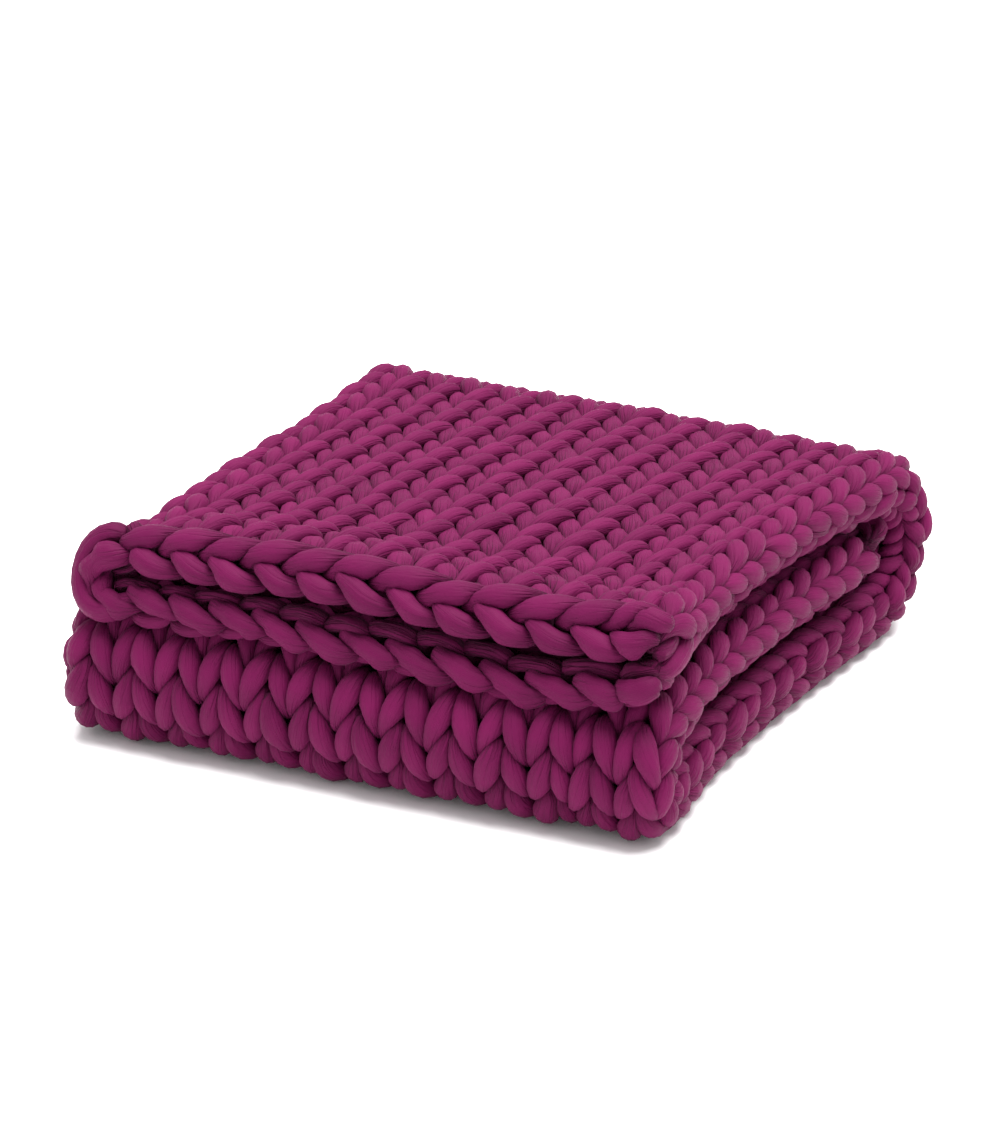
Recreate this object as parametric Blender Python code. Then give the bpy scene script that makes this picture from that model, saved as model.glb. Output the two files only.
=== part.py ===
"""A weighted blanket in a chunky hand knit, folded up for the shelf.

The blanket is one piece of plain knitting. It is folded in half down its length, so that the side
fold is at -X and both selvedges are at +X, and the doubled cloth is then folded in three: the free
edge lies on top at the front (-Y), the outer fold is at the back, and the inner end is tucked
between. The solid follows the six layers with small gaps, and its outer face carries one rib for
each column of stitches.

A point of the cloth is (across, along, out): the distance across the cloth from the side fold, the
distance along the middle of the doubled cloth from the free edge, and the height above the middle
of its own layer. Sizes are in millimetres until the mesh is made.
"""
import math

import bpy
import numpy as np

METRE = 0.001  # metres in a millimetre

# The knitting.
WALE = 42.0  # width of a column of stitches
SIDE_WALES = 13  # columns on each side of the one that turns round the side fold
LAYER = 30.0  # thickness of a layer, over its ribs
FURROW = 4.5  # depth between two ribs
RIB_FLAT = 16.0  # width of a rib's flat crown
LINING_GAP = 3.0  # half the gap between the two layers of the doubled cloth
SELVEDGE_TURN = math.radians(80)  # how far the selvedges curl in
SELVEDGE_PACK = 0.65  # width of the last column, as a share of a full one

# The pile of folded cloth.
PLY_GAP = 2.0  # gap between two doubled layers
DEPTH = 603.0  # from the front fold to the back fold
FREE_EDGE_Y = 16.0  # how far the free edge stays behind the front fold
DROOP_LENGTH = 75.0  # stretch of the top layers that bends down over the front fold
DROOP_ANGLE = 26.0  # degrees down at the free edge
FREE_EDGE_STEP = 16.0  # how far the upper layer's edge stays back, and the lower one's comes out
FREE_EDGE_FADE = 150.0  # stretch over which that step fades out
FOLD_SQUEEZE = 0.16  # how much the front fold presses its inner layer together
INNER_END_PAST = 8.0  # how far the inner end reaches into the back fold

# How the pile departs from square.
# run of the cloth, share of that run, and how far the side fold lies inside the lowest layer's there
SIDE_FOLD_LINE = (
    ("droop", 0.0, 18.0),
    ("droop", 0.9, 38.0),
    ("top", 0.15, 44.0),
    ("top", 0.7, 42.0),
    ("back fold", 0.0, 34.0),
    ("floor", 0.0, 0.0),
)
# depth in mm from the front, and how far the selvedge side stands out there
SELVEDGE_LINE = ((0.0, 0.0), (60.0, -6.0), (160.0, -16.0), (300.0, -11.0), (450.0, 6.0), (600.0, 22.0))
FLOOR_SPREAD = 11.0  # how far the weight presses the lowest layer's folds out at the floor
SPREAD_HEIGHT = 48.0
BACK_SAG = 0.075  # how much lower the pile is at its back selvedge corner, as a share of its height

LAYER_MIDDLE = LINING_GAP - 2.0 + LAYER / 2  # from the middle of the doubled cloth to a layer's
DOUBLE = 2 * (LAYER_MIDDLE + LAYER / 2)  # thickness of the doubled cloth
PITCH_Z = DOUBLE + PLY_GAP  # height from one doubled layer to the next
FRONT_RADIUS = PITCH_Z / 2
BACK_RADIUS = PITCH_Z
FRONT_CENTRE_Y = FRONT_RADIUS + DOUBLE / 2
BACK_CENTRE_Y = DEPTH - BACK_RADIUS - DOUBLE / 2
HALF_WIDTH = (SIDE_WALES + 0.5) * WALE
SIDE_FOLD_X = LAYER_MIDDLE + LAYER / 2  # where the side fold ends and the flat cloth starts
BEND_HALF = LAYER_MIDDLE * math.pi / 2  # half the side fold, along the middle of the layer
LAST_WALE_AT = (SIDE_WALES - 1) * WALE
CURL_AT = HALF_WIDTH - LAYER_MIDDLE * SELVEDGE_TURN

TOP_RUN = BACK_CENTRE_Y - FREE_EDGE_Y - DROOP_LENGTH
FLOOR_RUN = BACK_CENTRE_Y - FRONT_CENTRE_Y
# the runs of the doubled cloth from its free edge: name, length, turn in degrees
RUNS = (
    ("droop", DROOP_LENGTH, -DROOP_ANGLE),
    ("top", TOP_RUN, 0.0),
    ("back fold", math.pi * BACK_RADIUS, -180.0),
    ("floor", FLOOR_RUN, 0.0),
    ("front fold", math.pi * FRONT_RADIUS, -180.0),
    ("middle", FLOOR_RUN + INNER_END_PAST, 0.0),
)
ROWS_IN_RUN = {"droop": 3, "top": 5, "back fold": 10, "floor": 5, "front fold": 8, "middle": 5}
# the rolled edge: distance in from the end, and the thickness there as a share of the layer's
EDGE_ROLL = ((0.0, 0.60), (7.0, 0.98), (20.0, 1.06), (38.0, 1.0))

BERRY = (0.21, 0.022, 0.11, 1.0)


def run_starts():
    """Return the distance along the cloth at which each run starts, and at which the last ends."""
    return np.concatenate([[0.0], np.cumsum([length for _, length, _ in RUNS])])


def middle_line(along):
    """Place distances along the doubled cloth on its middle line, seen from the side.

    Returns depth, height and heading. The line is followed in 1 mm steps from its turns.
    """
    starts = run_starts()
    fine = np.linspace(0.0, starts[-1], int(starts[-1]) + 1)
    turned = np.concatenate([[DROOP_ANGLE], DROOP_ANGLE + np.cumsum([turn for _, _, turn in RUNS])])
    heading = np.radians(np.interp(fine, starts, turned))
    step = np.diff(fine)
    mid_heading = (heading[1:] + heading[:-1]) / 2
    depth = np.concatenate([[0.0], np.cumsum(step * np.cos(mid_heading))])
    height = np.concatenate([[0.0], np.cumsum(step * np.sin(mid_heading))])
    lowest = np.interp(starts[3], fine, height)
    depth += BACK_CENTRE_Y - np.interp(starts[2], fine, depth)
    height += DOUBLE / 2 - lowest
    return np.interp(along, fine, depth), np.interp(along, fine, height), np.interp(along, fine, heading)


def across_section(across, out):
    """Place points across the doubled cloth: distance from the side fold, and from its middle."""
    side = np.sign(across)
    reach = np.abs(across)
    radius = LAYER_MIDDLE + out
    bend = np.minimum(reach, BEND_HALF) / LAYER_MIDDLE
    curl = np.maximum(reach - CURL_AT, 0.0) / LAYER_MIDDLE
    flat = np.minimum(reach, LAST_WALE_AT) - np.minimum(reach, BEND_HALF)
    packed = np.clip(reach, LAST_WALE_AT, CURL_AT) - LAST_WALE_AT
    x = SIDE_FOLD_X - radius * np.cos(bend) + flat + packed * SELVEDGE_PACK + radius * np.sin(curl)
    height = side * radius * np.sin(bend) * np.cos(curl)
    return x, height


def smooth_step(value, start, end):
    """Rise smoothly from 0 at start to 1 at end."""
    share = np.clip((value - start) / (end - start), 0.0, 1.0)
    return share * share * (3.0 - 2.0 * share)


def side_fold_inset(along):
    """Return how far the side fold lies in from the lowest layer's, at distances along the cloth."""
    starts = dict(zip([name for name, _, _ in RUNS], run_starts()))
    lengths = {name: length for name, length, _ in RUNS}
    places = [starts[name] + share * lengths[name] for name, share, _ in SIDE_FOLD_LINE]
    return np.interp(along, places, [inset for _, _, inset in SIDE_FOLD_LINE])


def unsquare(x, y, z, along):
    """Move points of the square pile to where the loosely laid one has them."""
    width = SIDE_FOLD_X + HALF_WIDTH - BEND_HALF
    share = np.clip(x / width, 0.0, 1.0)
    line = np.array(SELVEDGE_LINE)
    out = np.interp(y, line[:, 0], line[:, 1])
    x = x + out * share**3 + side_fold_inset(along) * (1.0 - share) ** 3
    pressed = FLOOR_SPREAD * (1.0 - smooth_step(z, 0.0, SPREAD_HEIGHT))
    x = x - pressed * (1.0 - smooth_step(x, 0.0, 90.0))
    y = y - pressed * (1.0 - smooth_step(y, 0.0, 90.0))
    lift = 1.0 + 0.012 * np.sin(x / 95.0) * np.sin(y / 120.0 + 0.6)
    lift -= BACK_SAG * smooth_step(x, 60.0, width) * smooth_step(y, 200.0, DEPTH - 40.0)
    return x, y, z * lift


def cloth_point(across, along, out):
    """Place points of the cloth in the folded pile."""
    x, height = across_section(across, out)
    starts = run_starts()
    stepped = FREE_EDGE_STEP * height / LAYER_MIDDLE * (1.0 - smooth_step(along, 0.0, FREE_EDGE_FADE))
    stepped *= along < starts[2]
    in_fold = smooth_step(along, starts[4] - 25.0, starts[4] + 10.0)
    in_fold *= 1.0 - smooth_step(along, starts[5] - 10.0, starts[5] + 25.0)
    height = np.where(height < 0.0, height * (1.0 - FOLD_SQUEEZE * in_fold), height)
    depth, middle, heading = middle_line(along)
    y = depth + stepped * np.cos(heading) - height * np.sin(heading)
    z = middle + stepped * np.sin(heading) + height * np.cos(heading)
    return np.stack(unsquare(x, y, z, along), axis=-1)


def row_places():
    """Return the distances along the cloth at which the solid has its rows of points."""
    starts = run_starts()
    places = [0.0]
    for (name, _, _), start, end in zip(RUNS, starts[:-1], starts[1:]):
        places.extend(np.linspace(start, end, ROWS_IN_RUN[name] + 1)[1:])
    rolls = [distance for distance, _ in EDGE_ROLL]
    inner = [place for place in places if rolls[-1] + 8.0 < place < starts[-1] - rolls[-1] - 8.0]
    return np.array(rolls + inner + [starts[-1] - distance for distance in reversed(rolls)])


def outer_columns():
    """Return the outer face's columns, as (across, out, wale) rows from one selvedge to the other."""
    crown, furrow = LAYER / 2, LAYER / 2 - FURROW
    rim = LAYER / 2 - 6.0
    columns = []
    for wale in range(-SIDE_WALES, SIDE_WALES + 1):
        left = (wale - 0.5) * WALE
        if wale == -SIDE_WALES:
            columns += [(left, rim, wale), (left + 10.0, crown - 1.0, wale), (left + 20.0, crown, wale)]
        elif wale < 0:
            columns += [(left, crown, wale)]
        elif wale == 0:
            columns += [(left, crown, 0)] + [(left + WALE * part, crown, 0) for part in (0.25, 0.5, 0.75)]
        else:
            edge = (WALE - RIB_FLAT) / 2
            columns += [(left, furrow, wale), (left + edge, crown, wale), (left + WALE - edge, crown, wale)]
    columns += [(HALF_WIDTH - 10.0, crown - 1.0, SIDE_WALES), (HALF_WIDTH, rim, SIDE_WALES)]
    return columns


def inner_columns():
    """Return the lining face's columns: one at each edge of a wale."""
    lining = -(LAYER_MIDDLE - LINING_GAP)
    columns = []
    for edge in range(-SIDE_WALES, SIDE_WALES + 2):
        across = (edge - 0.5) * WALE
        at_selvedge = edge in (-SIDE_WALES, SIDE_WALES + 1)
        columns.append((across, lining + 4.0 if at_selvedge else lining))
    return columns


def blanket_mesh():
    """Build the folded blanket's points, in millimetres, and its faces."""
    rows = row_places()
    length = run_starts()[-1]
    roll = np.array(EDGE_ROLL)
    thickness = np.interp(np.minimum(rows, length - rows), roll[:, 0], roll[:, 1])
    outer = outer_columns()
    inner = inner_columns()
    grids = []
    for columns in (outer, inner):
        across = np.array([column[0] for column in columns])[None, :]
        out = np.array([column[1] for column in columns])[None, :] * thickness[:, None]
        out = np.maximum(out, -(LAYER_MIDDLE - LINING_GAP))
        shape = (len(rows), len(columns))
        grids.append(cloth_point(np.broadcast_to(across, shape), np.broadcast_to(rows[:, None], shape), out))
    points = np.concatenate([grid.reshape(-1, 3) for grid in grids])
    base = len(rows) * len(outer)

    def o(row, column):
        return row * len(outer) + column

    def i(row, column):
        return base + row * len(inner) + column

    faces = []
    last = len(rows) - 1
    for row in range(last):
        for column in range(len(outer) - 1):
            faces.append((o(row, column), o(row, column + 1), o(row + 1, column + 1), o(row + 1, column)))
        for column in range(len(inner) - 1):
            faces.append((i(row, column), i(row + 1, column), i(row + 1, column + 1), i(row, column + 1)))
        faces.append((o(row, 0), o(row + 1, 0), i(row + 1, 0), i(row, 0)))
        end_o, end_i = len(outer) - 1, len(inner) - 1
        faces.append((o(row, end_o), i(row, end_i), i(row + 1, end_i), o(row + 1, end_o)))

    first_column = {}
    for column, (_, _, wale) in enumerate(outer):
        first_column.setdefault(wale, column)
    for row, outward in ((0, False), (last, True)):
        for number, wale in enumerate(range(-SIDE_WALES, SIDE_WALES + 1)):
            start = first_column[wale]
            end = first_column.get(wale + 1, len(outer) - 1)
            middle = (start + end) // 2
            fan = [(i(row, number), o(row, column), o(row, column + 1)) for column in range(start, middle)]
            fan += [(i(row, number + 1), o(row, column), o(row, column + 1)) for column in range(middle, end)]
            fan.append((i(row, number), o(row, middle), i(row, number + 1)))
            faces.extend(face if outward else face[::-1] for face in fan)
    return points, faces


def remove_all_objects():
    """Empty the scene."""
    for thing in list(bpy.data.objects):
        bpy.data.objects.remove(thing, do_unlink=True)


def knit_material():
    """Return the dyed jersey's plain material."""
    material = bpy.data.materials.new("berry_jersey")
    material.use_nodes = True
    shader = material.node_tree.nodes["Principled BSDF"]
    shader.inputs["Base Color"].default_value = BERRY
    shader.inputs["Roughness"].default_value = 0.85
    shader.inputs["Metallic"].default_value = 0.0
    return material


def main():
    """Build the blanket as one object with its origin under the middle of its box."""
    remove_all_objects()
    points, faces = blanket_mesh()
    low, high = points.min(axis=0), points.max(axis=0)
    points = points - [(low[0] + high[0]) / 2, (low[1] + high[1]) / 2, low[2]]
    mesh = bpy.data.meshes.new("knit_blanket")
    mesh.from_pydata((points * METRE).tolist(), [], faces)
    mesh.validate()
    mesh.shade_smooth()
    mesh.set_sharp_from_angle(angle=math.radians(50))
    mesh.materials.append(knit_material())
    blanket = bpy.data.objects.new("knit_blanket", mesh)
    bpy.context.scene.collection.objects.link(blanket)


main()
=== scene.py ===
"""The looks of a folded weighted blanket, hand-knitted in plain stitch from thick filled jersey tube.

Every course of the knitting is one length of tube. Its middle line is a formula on the flat cloth, it
is carried into the folded pile, and there the tube is swelled until it meets its neighbours.
Sizes are in millimetres on the cloth and in metres in the meshes.
"""
import logging
import math
from dataclasses import dataclass, field
from enum import Enum

import bpy
import numpy as np
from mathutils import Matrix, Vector


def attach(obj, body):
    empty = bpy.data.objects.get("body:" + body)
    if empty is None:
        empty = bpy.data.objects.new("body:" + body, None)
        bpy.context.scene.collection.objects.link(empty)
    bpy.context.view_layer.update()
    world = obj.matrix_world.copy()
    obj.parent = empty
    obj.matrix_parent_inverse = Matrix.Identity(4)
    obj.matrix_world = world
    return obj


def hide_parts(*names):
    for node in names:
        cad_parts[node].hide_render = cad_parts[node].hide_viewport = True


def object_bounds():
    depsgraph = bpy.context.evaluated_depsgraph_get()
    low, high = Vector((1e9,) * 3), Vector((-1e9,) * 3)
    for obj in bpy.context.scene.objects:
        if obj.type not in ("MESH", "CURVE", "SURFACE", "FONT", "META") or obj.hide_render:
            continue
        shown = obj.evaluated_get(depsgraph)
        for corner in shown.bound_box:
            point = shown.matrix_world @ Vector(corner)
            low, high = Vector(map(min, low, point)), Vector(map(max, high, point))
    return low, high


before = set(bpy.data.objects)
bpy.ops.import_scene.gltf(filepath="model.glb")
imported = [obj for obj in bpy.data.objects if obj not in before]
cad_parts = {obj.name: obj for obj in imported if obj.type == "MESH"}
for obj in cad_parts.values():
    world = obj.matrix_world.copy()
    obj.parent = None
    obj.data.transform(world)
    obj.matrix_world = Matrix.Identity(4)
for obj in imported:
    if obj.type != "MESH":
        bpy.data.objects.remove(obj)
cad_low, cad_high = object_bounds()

log = logging.getLogger("blanket")

METRE = 0.001  # metres in a millimetre
NODE = "knit_blanket"
SLOT = "berry_jersey"
FAR_AWAY = 1.0e4  # where a missing neighbour is put, in mm

# Arrays of across, along and out on the cloth, or of x, y and z.
Triple = tuple[np.ndarray, np.ndarray, np.ndarray]


def smooth_step(value: np.ndarray, start: float, end: float) -> np.ndarray:
    """Rise smoothly from 0 at start to 1 at end.

    Args:
        value: the places to read it at.
        start: where it leaves 0.
        end: where it reaches 1.

    Returns:
        3s^2 - 2s^3 of the share s of the way from start to end.
    """
    share = np.clip((value - start) / (end - start), 0.0, 1.0)
    return share * share * (3.0 - 2.0 * share)


@dataclass
class FoldedPile:
    """The doubled cloth folded in three, as the solid has it, in millimetres.

    A point of the cloth is (across, along, out): across from the side fold, along from the free
    edge, and out from the middle of its own layer. The upper half has across above 0.
    """

    wale: float = 42.0  # width of a column of stitches
    side_wales: int = 13  # columns on each half, beside the one round the side fold
    layer: float = 30.0  # thickness of a layer, over its ribs
    lining_gap: float = 3.0  # half the gap between the two layers of the doubled cloth
    rib_press: float = 2.0  # how much nearer the layers lie for their ribs
    selvedge_turn: float = math.radians(80)  # how far the selvedges curl in
    selvedge_pack: float = 0.65  # width of the last column, as a share of a full one
    ply_gap: float = 2.0  # gap between two doubled layers
    depth: float = 603.0  # from the front fold to the back fold
    free_edge_y: float = 16.0  # how far the free edge stays behind the front fold
    droop_length: float = 75.0  # stretch of the top layers that bends down over the front fold
    droop_angle: float = 26.0  # degrees down at the free edge
    free_edge_step: float = 16.0  # how far the upper half's edge stays back, and the other comes out
    free_edge_fade: float = 150.0  # stretch over which that fades
    fold_squeeze: float = 0.16  # how much the front fold presses its inner layer together
    fold_blend: tuple[float, float] = (25.0, 10.0)  # where that begins, before the fold and inside it
    inner_end_past: float = 8.0  # how far the inner end reaches into the back fold
    # run, share of its length, and how far in from the lowest layer's the side fold lies
    side_fold_line: tuple[tuple[str, float, float], ...] = (
        ("droop", 0.0, 18.0),
        ("droop", 0.9, 38.0),
        ("top", 0.15, 44.0),
        ("top", 0.7, 42.0),
        ("back fold", 0.0, 34.0),
        ("floor", 0.0, 0.0),
    )
    # depth from the front, and how far the selvedge side stands out there
    selvedge_line: tuple[tuple[float, float], ...] = (
        (0.0, 0.0), (60.0, -6.0), (160.0, -16.0), (300.0, -11.0), (450.0, 6.0), (600.0, 22.0),
    )
    # for the upper half and for the lower: number of a run, distance from its start, and how far out
    selvedge_shifts: tuple[tuple[tuple[int, float, float], ...], ...] = (
        ((5, 0.0, 0.0), (5, 60.0, 5.0), (6, -60.0, 5.0), (6, 0.0, 0.0)),
        ((0, 40.0, 0.0), (0, 130.0, -10.0), (2, -90.0, -10.0), (2, 0.0, 0.0),
         (5, 0.0, 0.0), (5, 60.0, -8.0), (6, -60.0, -8.0), (6, 0.0, 0.0)),
    )
    shift_from: tuple[float, float] = (430.0, 550.0)  # between these distances across it sets in
    floor_spread: float = 11.0  # how far the lowest layer spreads under the weight
    spread_height: float = 48.0  # up to which it does
    spread_reach: float = 90.0  # and how far in from the side and the front
    # share of the height by which the top is uneven, the waves' lengths over 2 pi from side to side
    # and in depth, and where the latter starts, in radians
    wave: tuple[float, float, float, float] = (0.012, 95.0, 120.0, 0.6)
    back_sag: float = 0.075  # how much lower the back selvedge corner is, as a share of the height
    # where that begins from the side and from the front, and how far before the back it is whole
    sag_from: tuple[float, float, float] = (60.0, 200.0, 40.0)
    # distance from the side fold, and how much higher the upper half's free edge and the lower's lie
    free_edge_rise: tuple[tuple[float, float, float], ...] = (
        (0.0, 0.0, 0.0), (42.0, 8.0, 0.0), (170.0, 12.0, 0.0), (265.0, 18.0, -3.0),
        (340.0, 11.0, -5.0), (430.0, 9.0, -11.0), (480.0, 10.0, -4.0), (520.0, 13.0, 3.0),
        (567.0, 20.0, 16.0),
    )
    rise_fade: tuple[float, float] = (15.0, 120.0)  # between these distances along it fades
    low_corner: tuple[float, float, float] = (-3.16, 0.0, 0.0)  # of the solid, before it is centred

    def __post_init__(self) -> None:
        """Work out the radii, the runs and the middle line from the driving sizes."""
        self.layer_middle = self.lining_gap - self.rib_press + self.layer / 2
        double = 2 * (self.layer_middle + self.layer / 2)
        pitch_z = double + self.ply_gap
        front_radius, back_radius = pitch_z / 2, pitch_z
        front_centre = front_radius + double / 2
        back_centre = self.depth - back_radius - double / 2
        self.half_width = (self.side_wales + 0.5) * self.wale
        self.side_fold_x = self.layer_middle + self.layer / 2
        self.bend_half = self.layer_middle * math.pi / 2
        self.last_wale_at = (self.side_wales - 1) * self.wale
        self.curl_at = self.half_width - self.layer_middle * self.selvedge_turn
        floor_run = back_centre - front_centre
        self.runs = (
            ("droop", self.droop_length, -self.droop_angle),
            ("top", back_centre - self.free_edge_y - self.droop_length, 0.0),
            ("back fold", math.pi * back_radius, -180.0),
            ("floor", floor_run, 0.0),
            ("front fold", math.pi * front_radius, -180.0),
            ("middle", floor_run + self.inner_end_past, 0.0),
        )
        self.starts = np.concatenate([[0.0], np.cumsum([length for _, length, _ in self.runs])])
        self.fine = np.linspace(0.0, self.starts[-1], int(self.starts[-1]) + 1)
        turned = np.cumsum([self.droop_angle] + [turn for _, _, turn in self.runs])
        self.heading = np.radians(np.interp(self.fine, self.starts, turned))
        step = np.diff(self.fine)
        middle = (self.heading[1:] + self.heading[:-1]) / 2
        depth = np.concatenate([[0.0], np.cumsum(step * np.cos(middle))])
        height = np.concatenate([[0.0], np.cumsum(step * np.sin(middle))])
        self.line_depth = depth + back_centre - np.interp(self.starts[2], self.fine, depth)
        self.line_height = height + double / 2 - np.interp(self.starts[3], self.fine, height)

    def run_span(self, name: str) -> tuple[float, float]:
        """Return where the named run starts and ends along the cloth."""
        number = [run for run, _, _ in self.runs].index(name)
        return float(self.starts[number]), float(self.starts[number + 1])

    def across_section(self, across: np.ndarray, out: np.ndarray) -> tuple[np.ndarray, np.ndarray]:
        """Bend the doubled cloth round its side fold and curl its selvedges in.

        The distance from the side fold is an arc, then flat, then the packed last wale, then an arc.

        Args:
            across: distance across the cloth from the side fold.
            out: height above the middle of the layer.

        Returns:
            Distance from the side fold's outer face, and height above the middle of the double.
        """
        reach = np.abs(across)
        radius = self.layer_middle + out
        bend = np.minimum(reach, self.bend_half) / self.layer_middle
        curl = np.maximum(reach - self.curl_at, 0.0) / self.layer_middle
        flat = np.minimum(reach, self.last_wale_at) - np.minimum(reach, self.bend_half)
        packed = np.clip(reach, self.last_wale_at, self.curl_at) - self.last_wale_at
        x = self.side_fold_x - radius * np.cos(bend) + flat + packed * self.selvedge_pack
        return x + radius * np.sin(curl), np.sign(across) * radius * np.sin(bend) * np.cos(curl)

    def selvedge_shift(self, across: np.ndarray, along: np.ndarray) -> np.ndarray:
        """Find how far out a half's selvedge lies from the pile's own: straight lines along the cloth.

        Args:
            across: distance across the cloth from the side fold.
            along: distance along the cloth.

        Returns:
            The shift, which is 0 but near the selvedges.
        """
        shifts = []
        for line in self.selvedge_shifts:
            places = [self.starts[run] + offset for run, offset, _ in line]
            shifts.append(np.interp(along, places, [out for _, _, out in line]))
        return np.where(across > 0, *shifts) * smooth_step(np.abs(across), *self.shift_from)

    def side_fold_inset(self, along: np.ndarray) -> np.ndarray:
        """Find how far the side fold lies in from the lowest layer's: straight lines along the cloth.

        Args:
            along: distance along the cloth.

        Returns:
            The inset.
        """
        places = []
        for name, share, _ in self.side_fold_line:
            start, end = self.run_span(name)
            places.append(start + share * (end - start))
        return np.interp(along, places, [inset for _, _, inset in self.side_fold_line])

    def unsquare(self, x: np.ndarray, y: np.ndarray, z: np.ndarray, along: np.ndarray) -> Triple:
        """Move points of the square pile to where the loosely laid one has them.

        The selvedge side stands out by a line over the depth, the side fold lies in by a line along
        the cloth, the floor layer spreads, and the back selvedge corner sags.

        Args:
            x: distance from the side fold.
            y: depth from the front.
            z: height.
            along: distance along the cloth.

        Returns:
            The moved x, y and z.
        """
        width = self.side_fold_x + self.half_width - self.bend_half
        share = np.clip(x / width, 0.0, 1.0)
        line = np.array(self.selvedge_line)
        x = x + np.interp(y, line[:, 0], line[:, 1]) * share**3
        x = x + self.side_fold_inset(along) * (1.0 - share) ** 3
        pressed = self.floor_spread * (1.0 - smooth_step(z, 0.0, self.spread_height))
        x = x - pressed * (1.0 - smooth_step(x, 0.0, self.spread_reach))
        y = y - pressed * (1.0 - smooth_step(y, 0.0, self.spread_reach))
        uneven, wide, deep, start = self.wave
        lift = 1.0 + uneven * np.sin(x / wide) * np.sin(y / deep + start)
        from_side, from_front, before_back = self.sag_from
        sag = smooth_step(x, from_side, width) * smooth_step(y, from_front, self.depth - before_back)
        return x, y, z * (lift - self.back_sag * sag)

    def place(self, across: np.ndarray, along: np.ndarray, out: np.ndarray) -> np.ndarray:
        """Carry points of the cloth into the folded pile.

        The point's height above the doubled cloth's middle line is set off square to that line, whose
        depth, height and heading are followed along the runs.

        Args:
            across: distance across the cloth from the side fold.
            along: distance along the cloth from the free edge.
            out: height above the middle of the layer.

        Returns:
            Points in millimetres, with the object's origin as 0, one in each row.
        """
        x, height = self.across_section(across, out)
        x = x + self.selvedge_shift(across, along)
        before_back_fold = along < self.starts[2]
        stepped = self.free_edge_step * height / self.layer_middle
        stepped = stepped * (1.0 - smooth_step(along, 0.0, self.free_edge_fade)) * before_back_fold
        (start, end), (outside, inside) = self.run_span("front fold"), self.fold_blend
        in_fold = smooth_step(along, start - outside, start + inside)
        in_fold = in_fold * (1.0 - smooth_step(along, end - inside, end + outside))
        height = np.where(height < 0.0, height * (1.0 - self.fold_squeeze * in_fold), height)
        rise = np.array(self.free_edge_rise)
        lifted = np.where(across > 0, np.interp(across, rise[:, 0], rise[:, 1]),
                          np.interp(-across, rise[:, 0], rise[:, 2]))
        height = height + lifted * (1.0 - smooth_step(along, *self.rise_fade)) * before_back_fold
        heading = np.interp(along, self.fine, self.heading)
        y = np.interp(along, self.fine, self.line_depth)
        z = np.interp(along, self.fine, self.line_height)
        past = np.minimum(along, 0.0) + np.maximum(along - self.fine[-1], 0.0)
        y = y + (stepped + past) * np.cos(heading) - height * np.sin(heading)
        z = z + (stepped + past) * np.sin(heading) + height * np.cos(heading)
        moved = np.stack(self.unsquare(x, y, z, along), axis=-1)
        return moved - np.array(self.low_corner) + np.array(cad_low) / METRE


@dataclass
class CourseLadder:
    """Where the courses of the knitting lie along the cloth.

    The upper layer's length counts, since the folds stretch it: a millimetre of the middle line is
    1 + 16 x its turn in radians long there. Courses are a little taller on the front fold.
    """

    pile: FoldedPile
    pitch: float = 33.6  # from course to course
    fold_pitch: float = 35.5  # the same on the front fold
    first_at: float = 43.0  # the first course's middle, from the free edge
    last_margin: float = 43.0  # the least from the last course's middle to the other end
    stitch_foot: float = 0.60  # how far a stitch's foot lies before its middle, in courses
    blend: tuple[float, float] = (30.0, 10.0)  # where that pitch sets in, before the fold and inside

    def __post_init__(self) -> None:
        """Number the courses so that the front fold's foremost line has the feet of one."""
        fine = self.pile.fine
        turn = -np.gradient(self.pile.heading, fine)
        start, end = self.pile.run_span("front fold")
        outside, inside = self.blend
        fold = smooth_step(fine, start - outside, start + inside)
        fold = fold * (1.0 - smooth_step(fine, end - inside, end + outside))
        pitch = self.pitch + (self.fold_pitch - self.pitch) * fold
        density = (1.0 + self.pile.layer_middle * turn) / pitch
        count = np.concatenate([[0.0], np.cumsum((density[1:] + density[:-1]) / 2 * np.diff(fine))])
        count -= np.interp(self.first_at, fine, count)
        foremost = np.interp((start + end) / 2, fine, count)
        whole = round(foremost + self.stitch_foot)
        self.count = count * (whole - self.stitch_foot) / foremost
        last = np.interp(fine[-1] - self.last_margin, fine, self.count)
        self.courses = int(last) + 1

    def along(self, course: np.ndarray) -> np.ndarray:
        """Find where courses lie along the cloth, past its ends too, at the pitch of the flat cloth.

        Args:
            course: whole or part numbers of courses.

        Returns:
            Distances along the cloth.
        """
        inside = np.interp(course, self.count, self.pile.fine)
        before = np.minimum(course - self.count[0], 0.0) * self.pitch
        after = np.maximum(course - self.count[-1], 0.0) * self.pitch
        return inside + before + after

    def course_at(self, along: float) -> int:
        """Return the course nearest to a place along the cloth."""
        nearest = round(float(np.interp(along, self.pile.fine, self.count)))
        return int(np.clip(nearest, 0, self.courses - 1))


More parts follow.
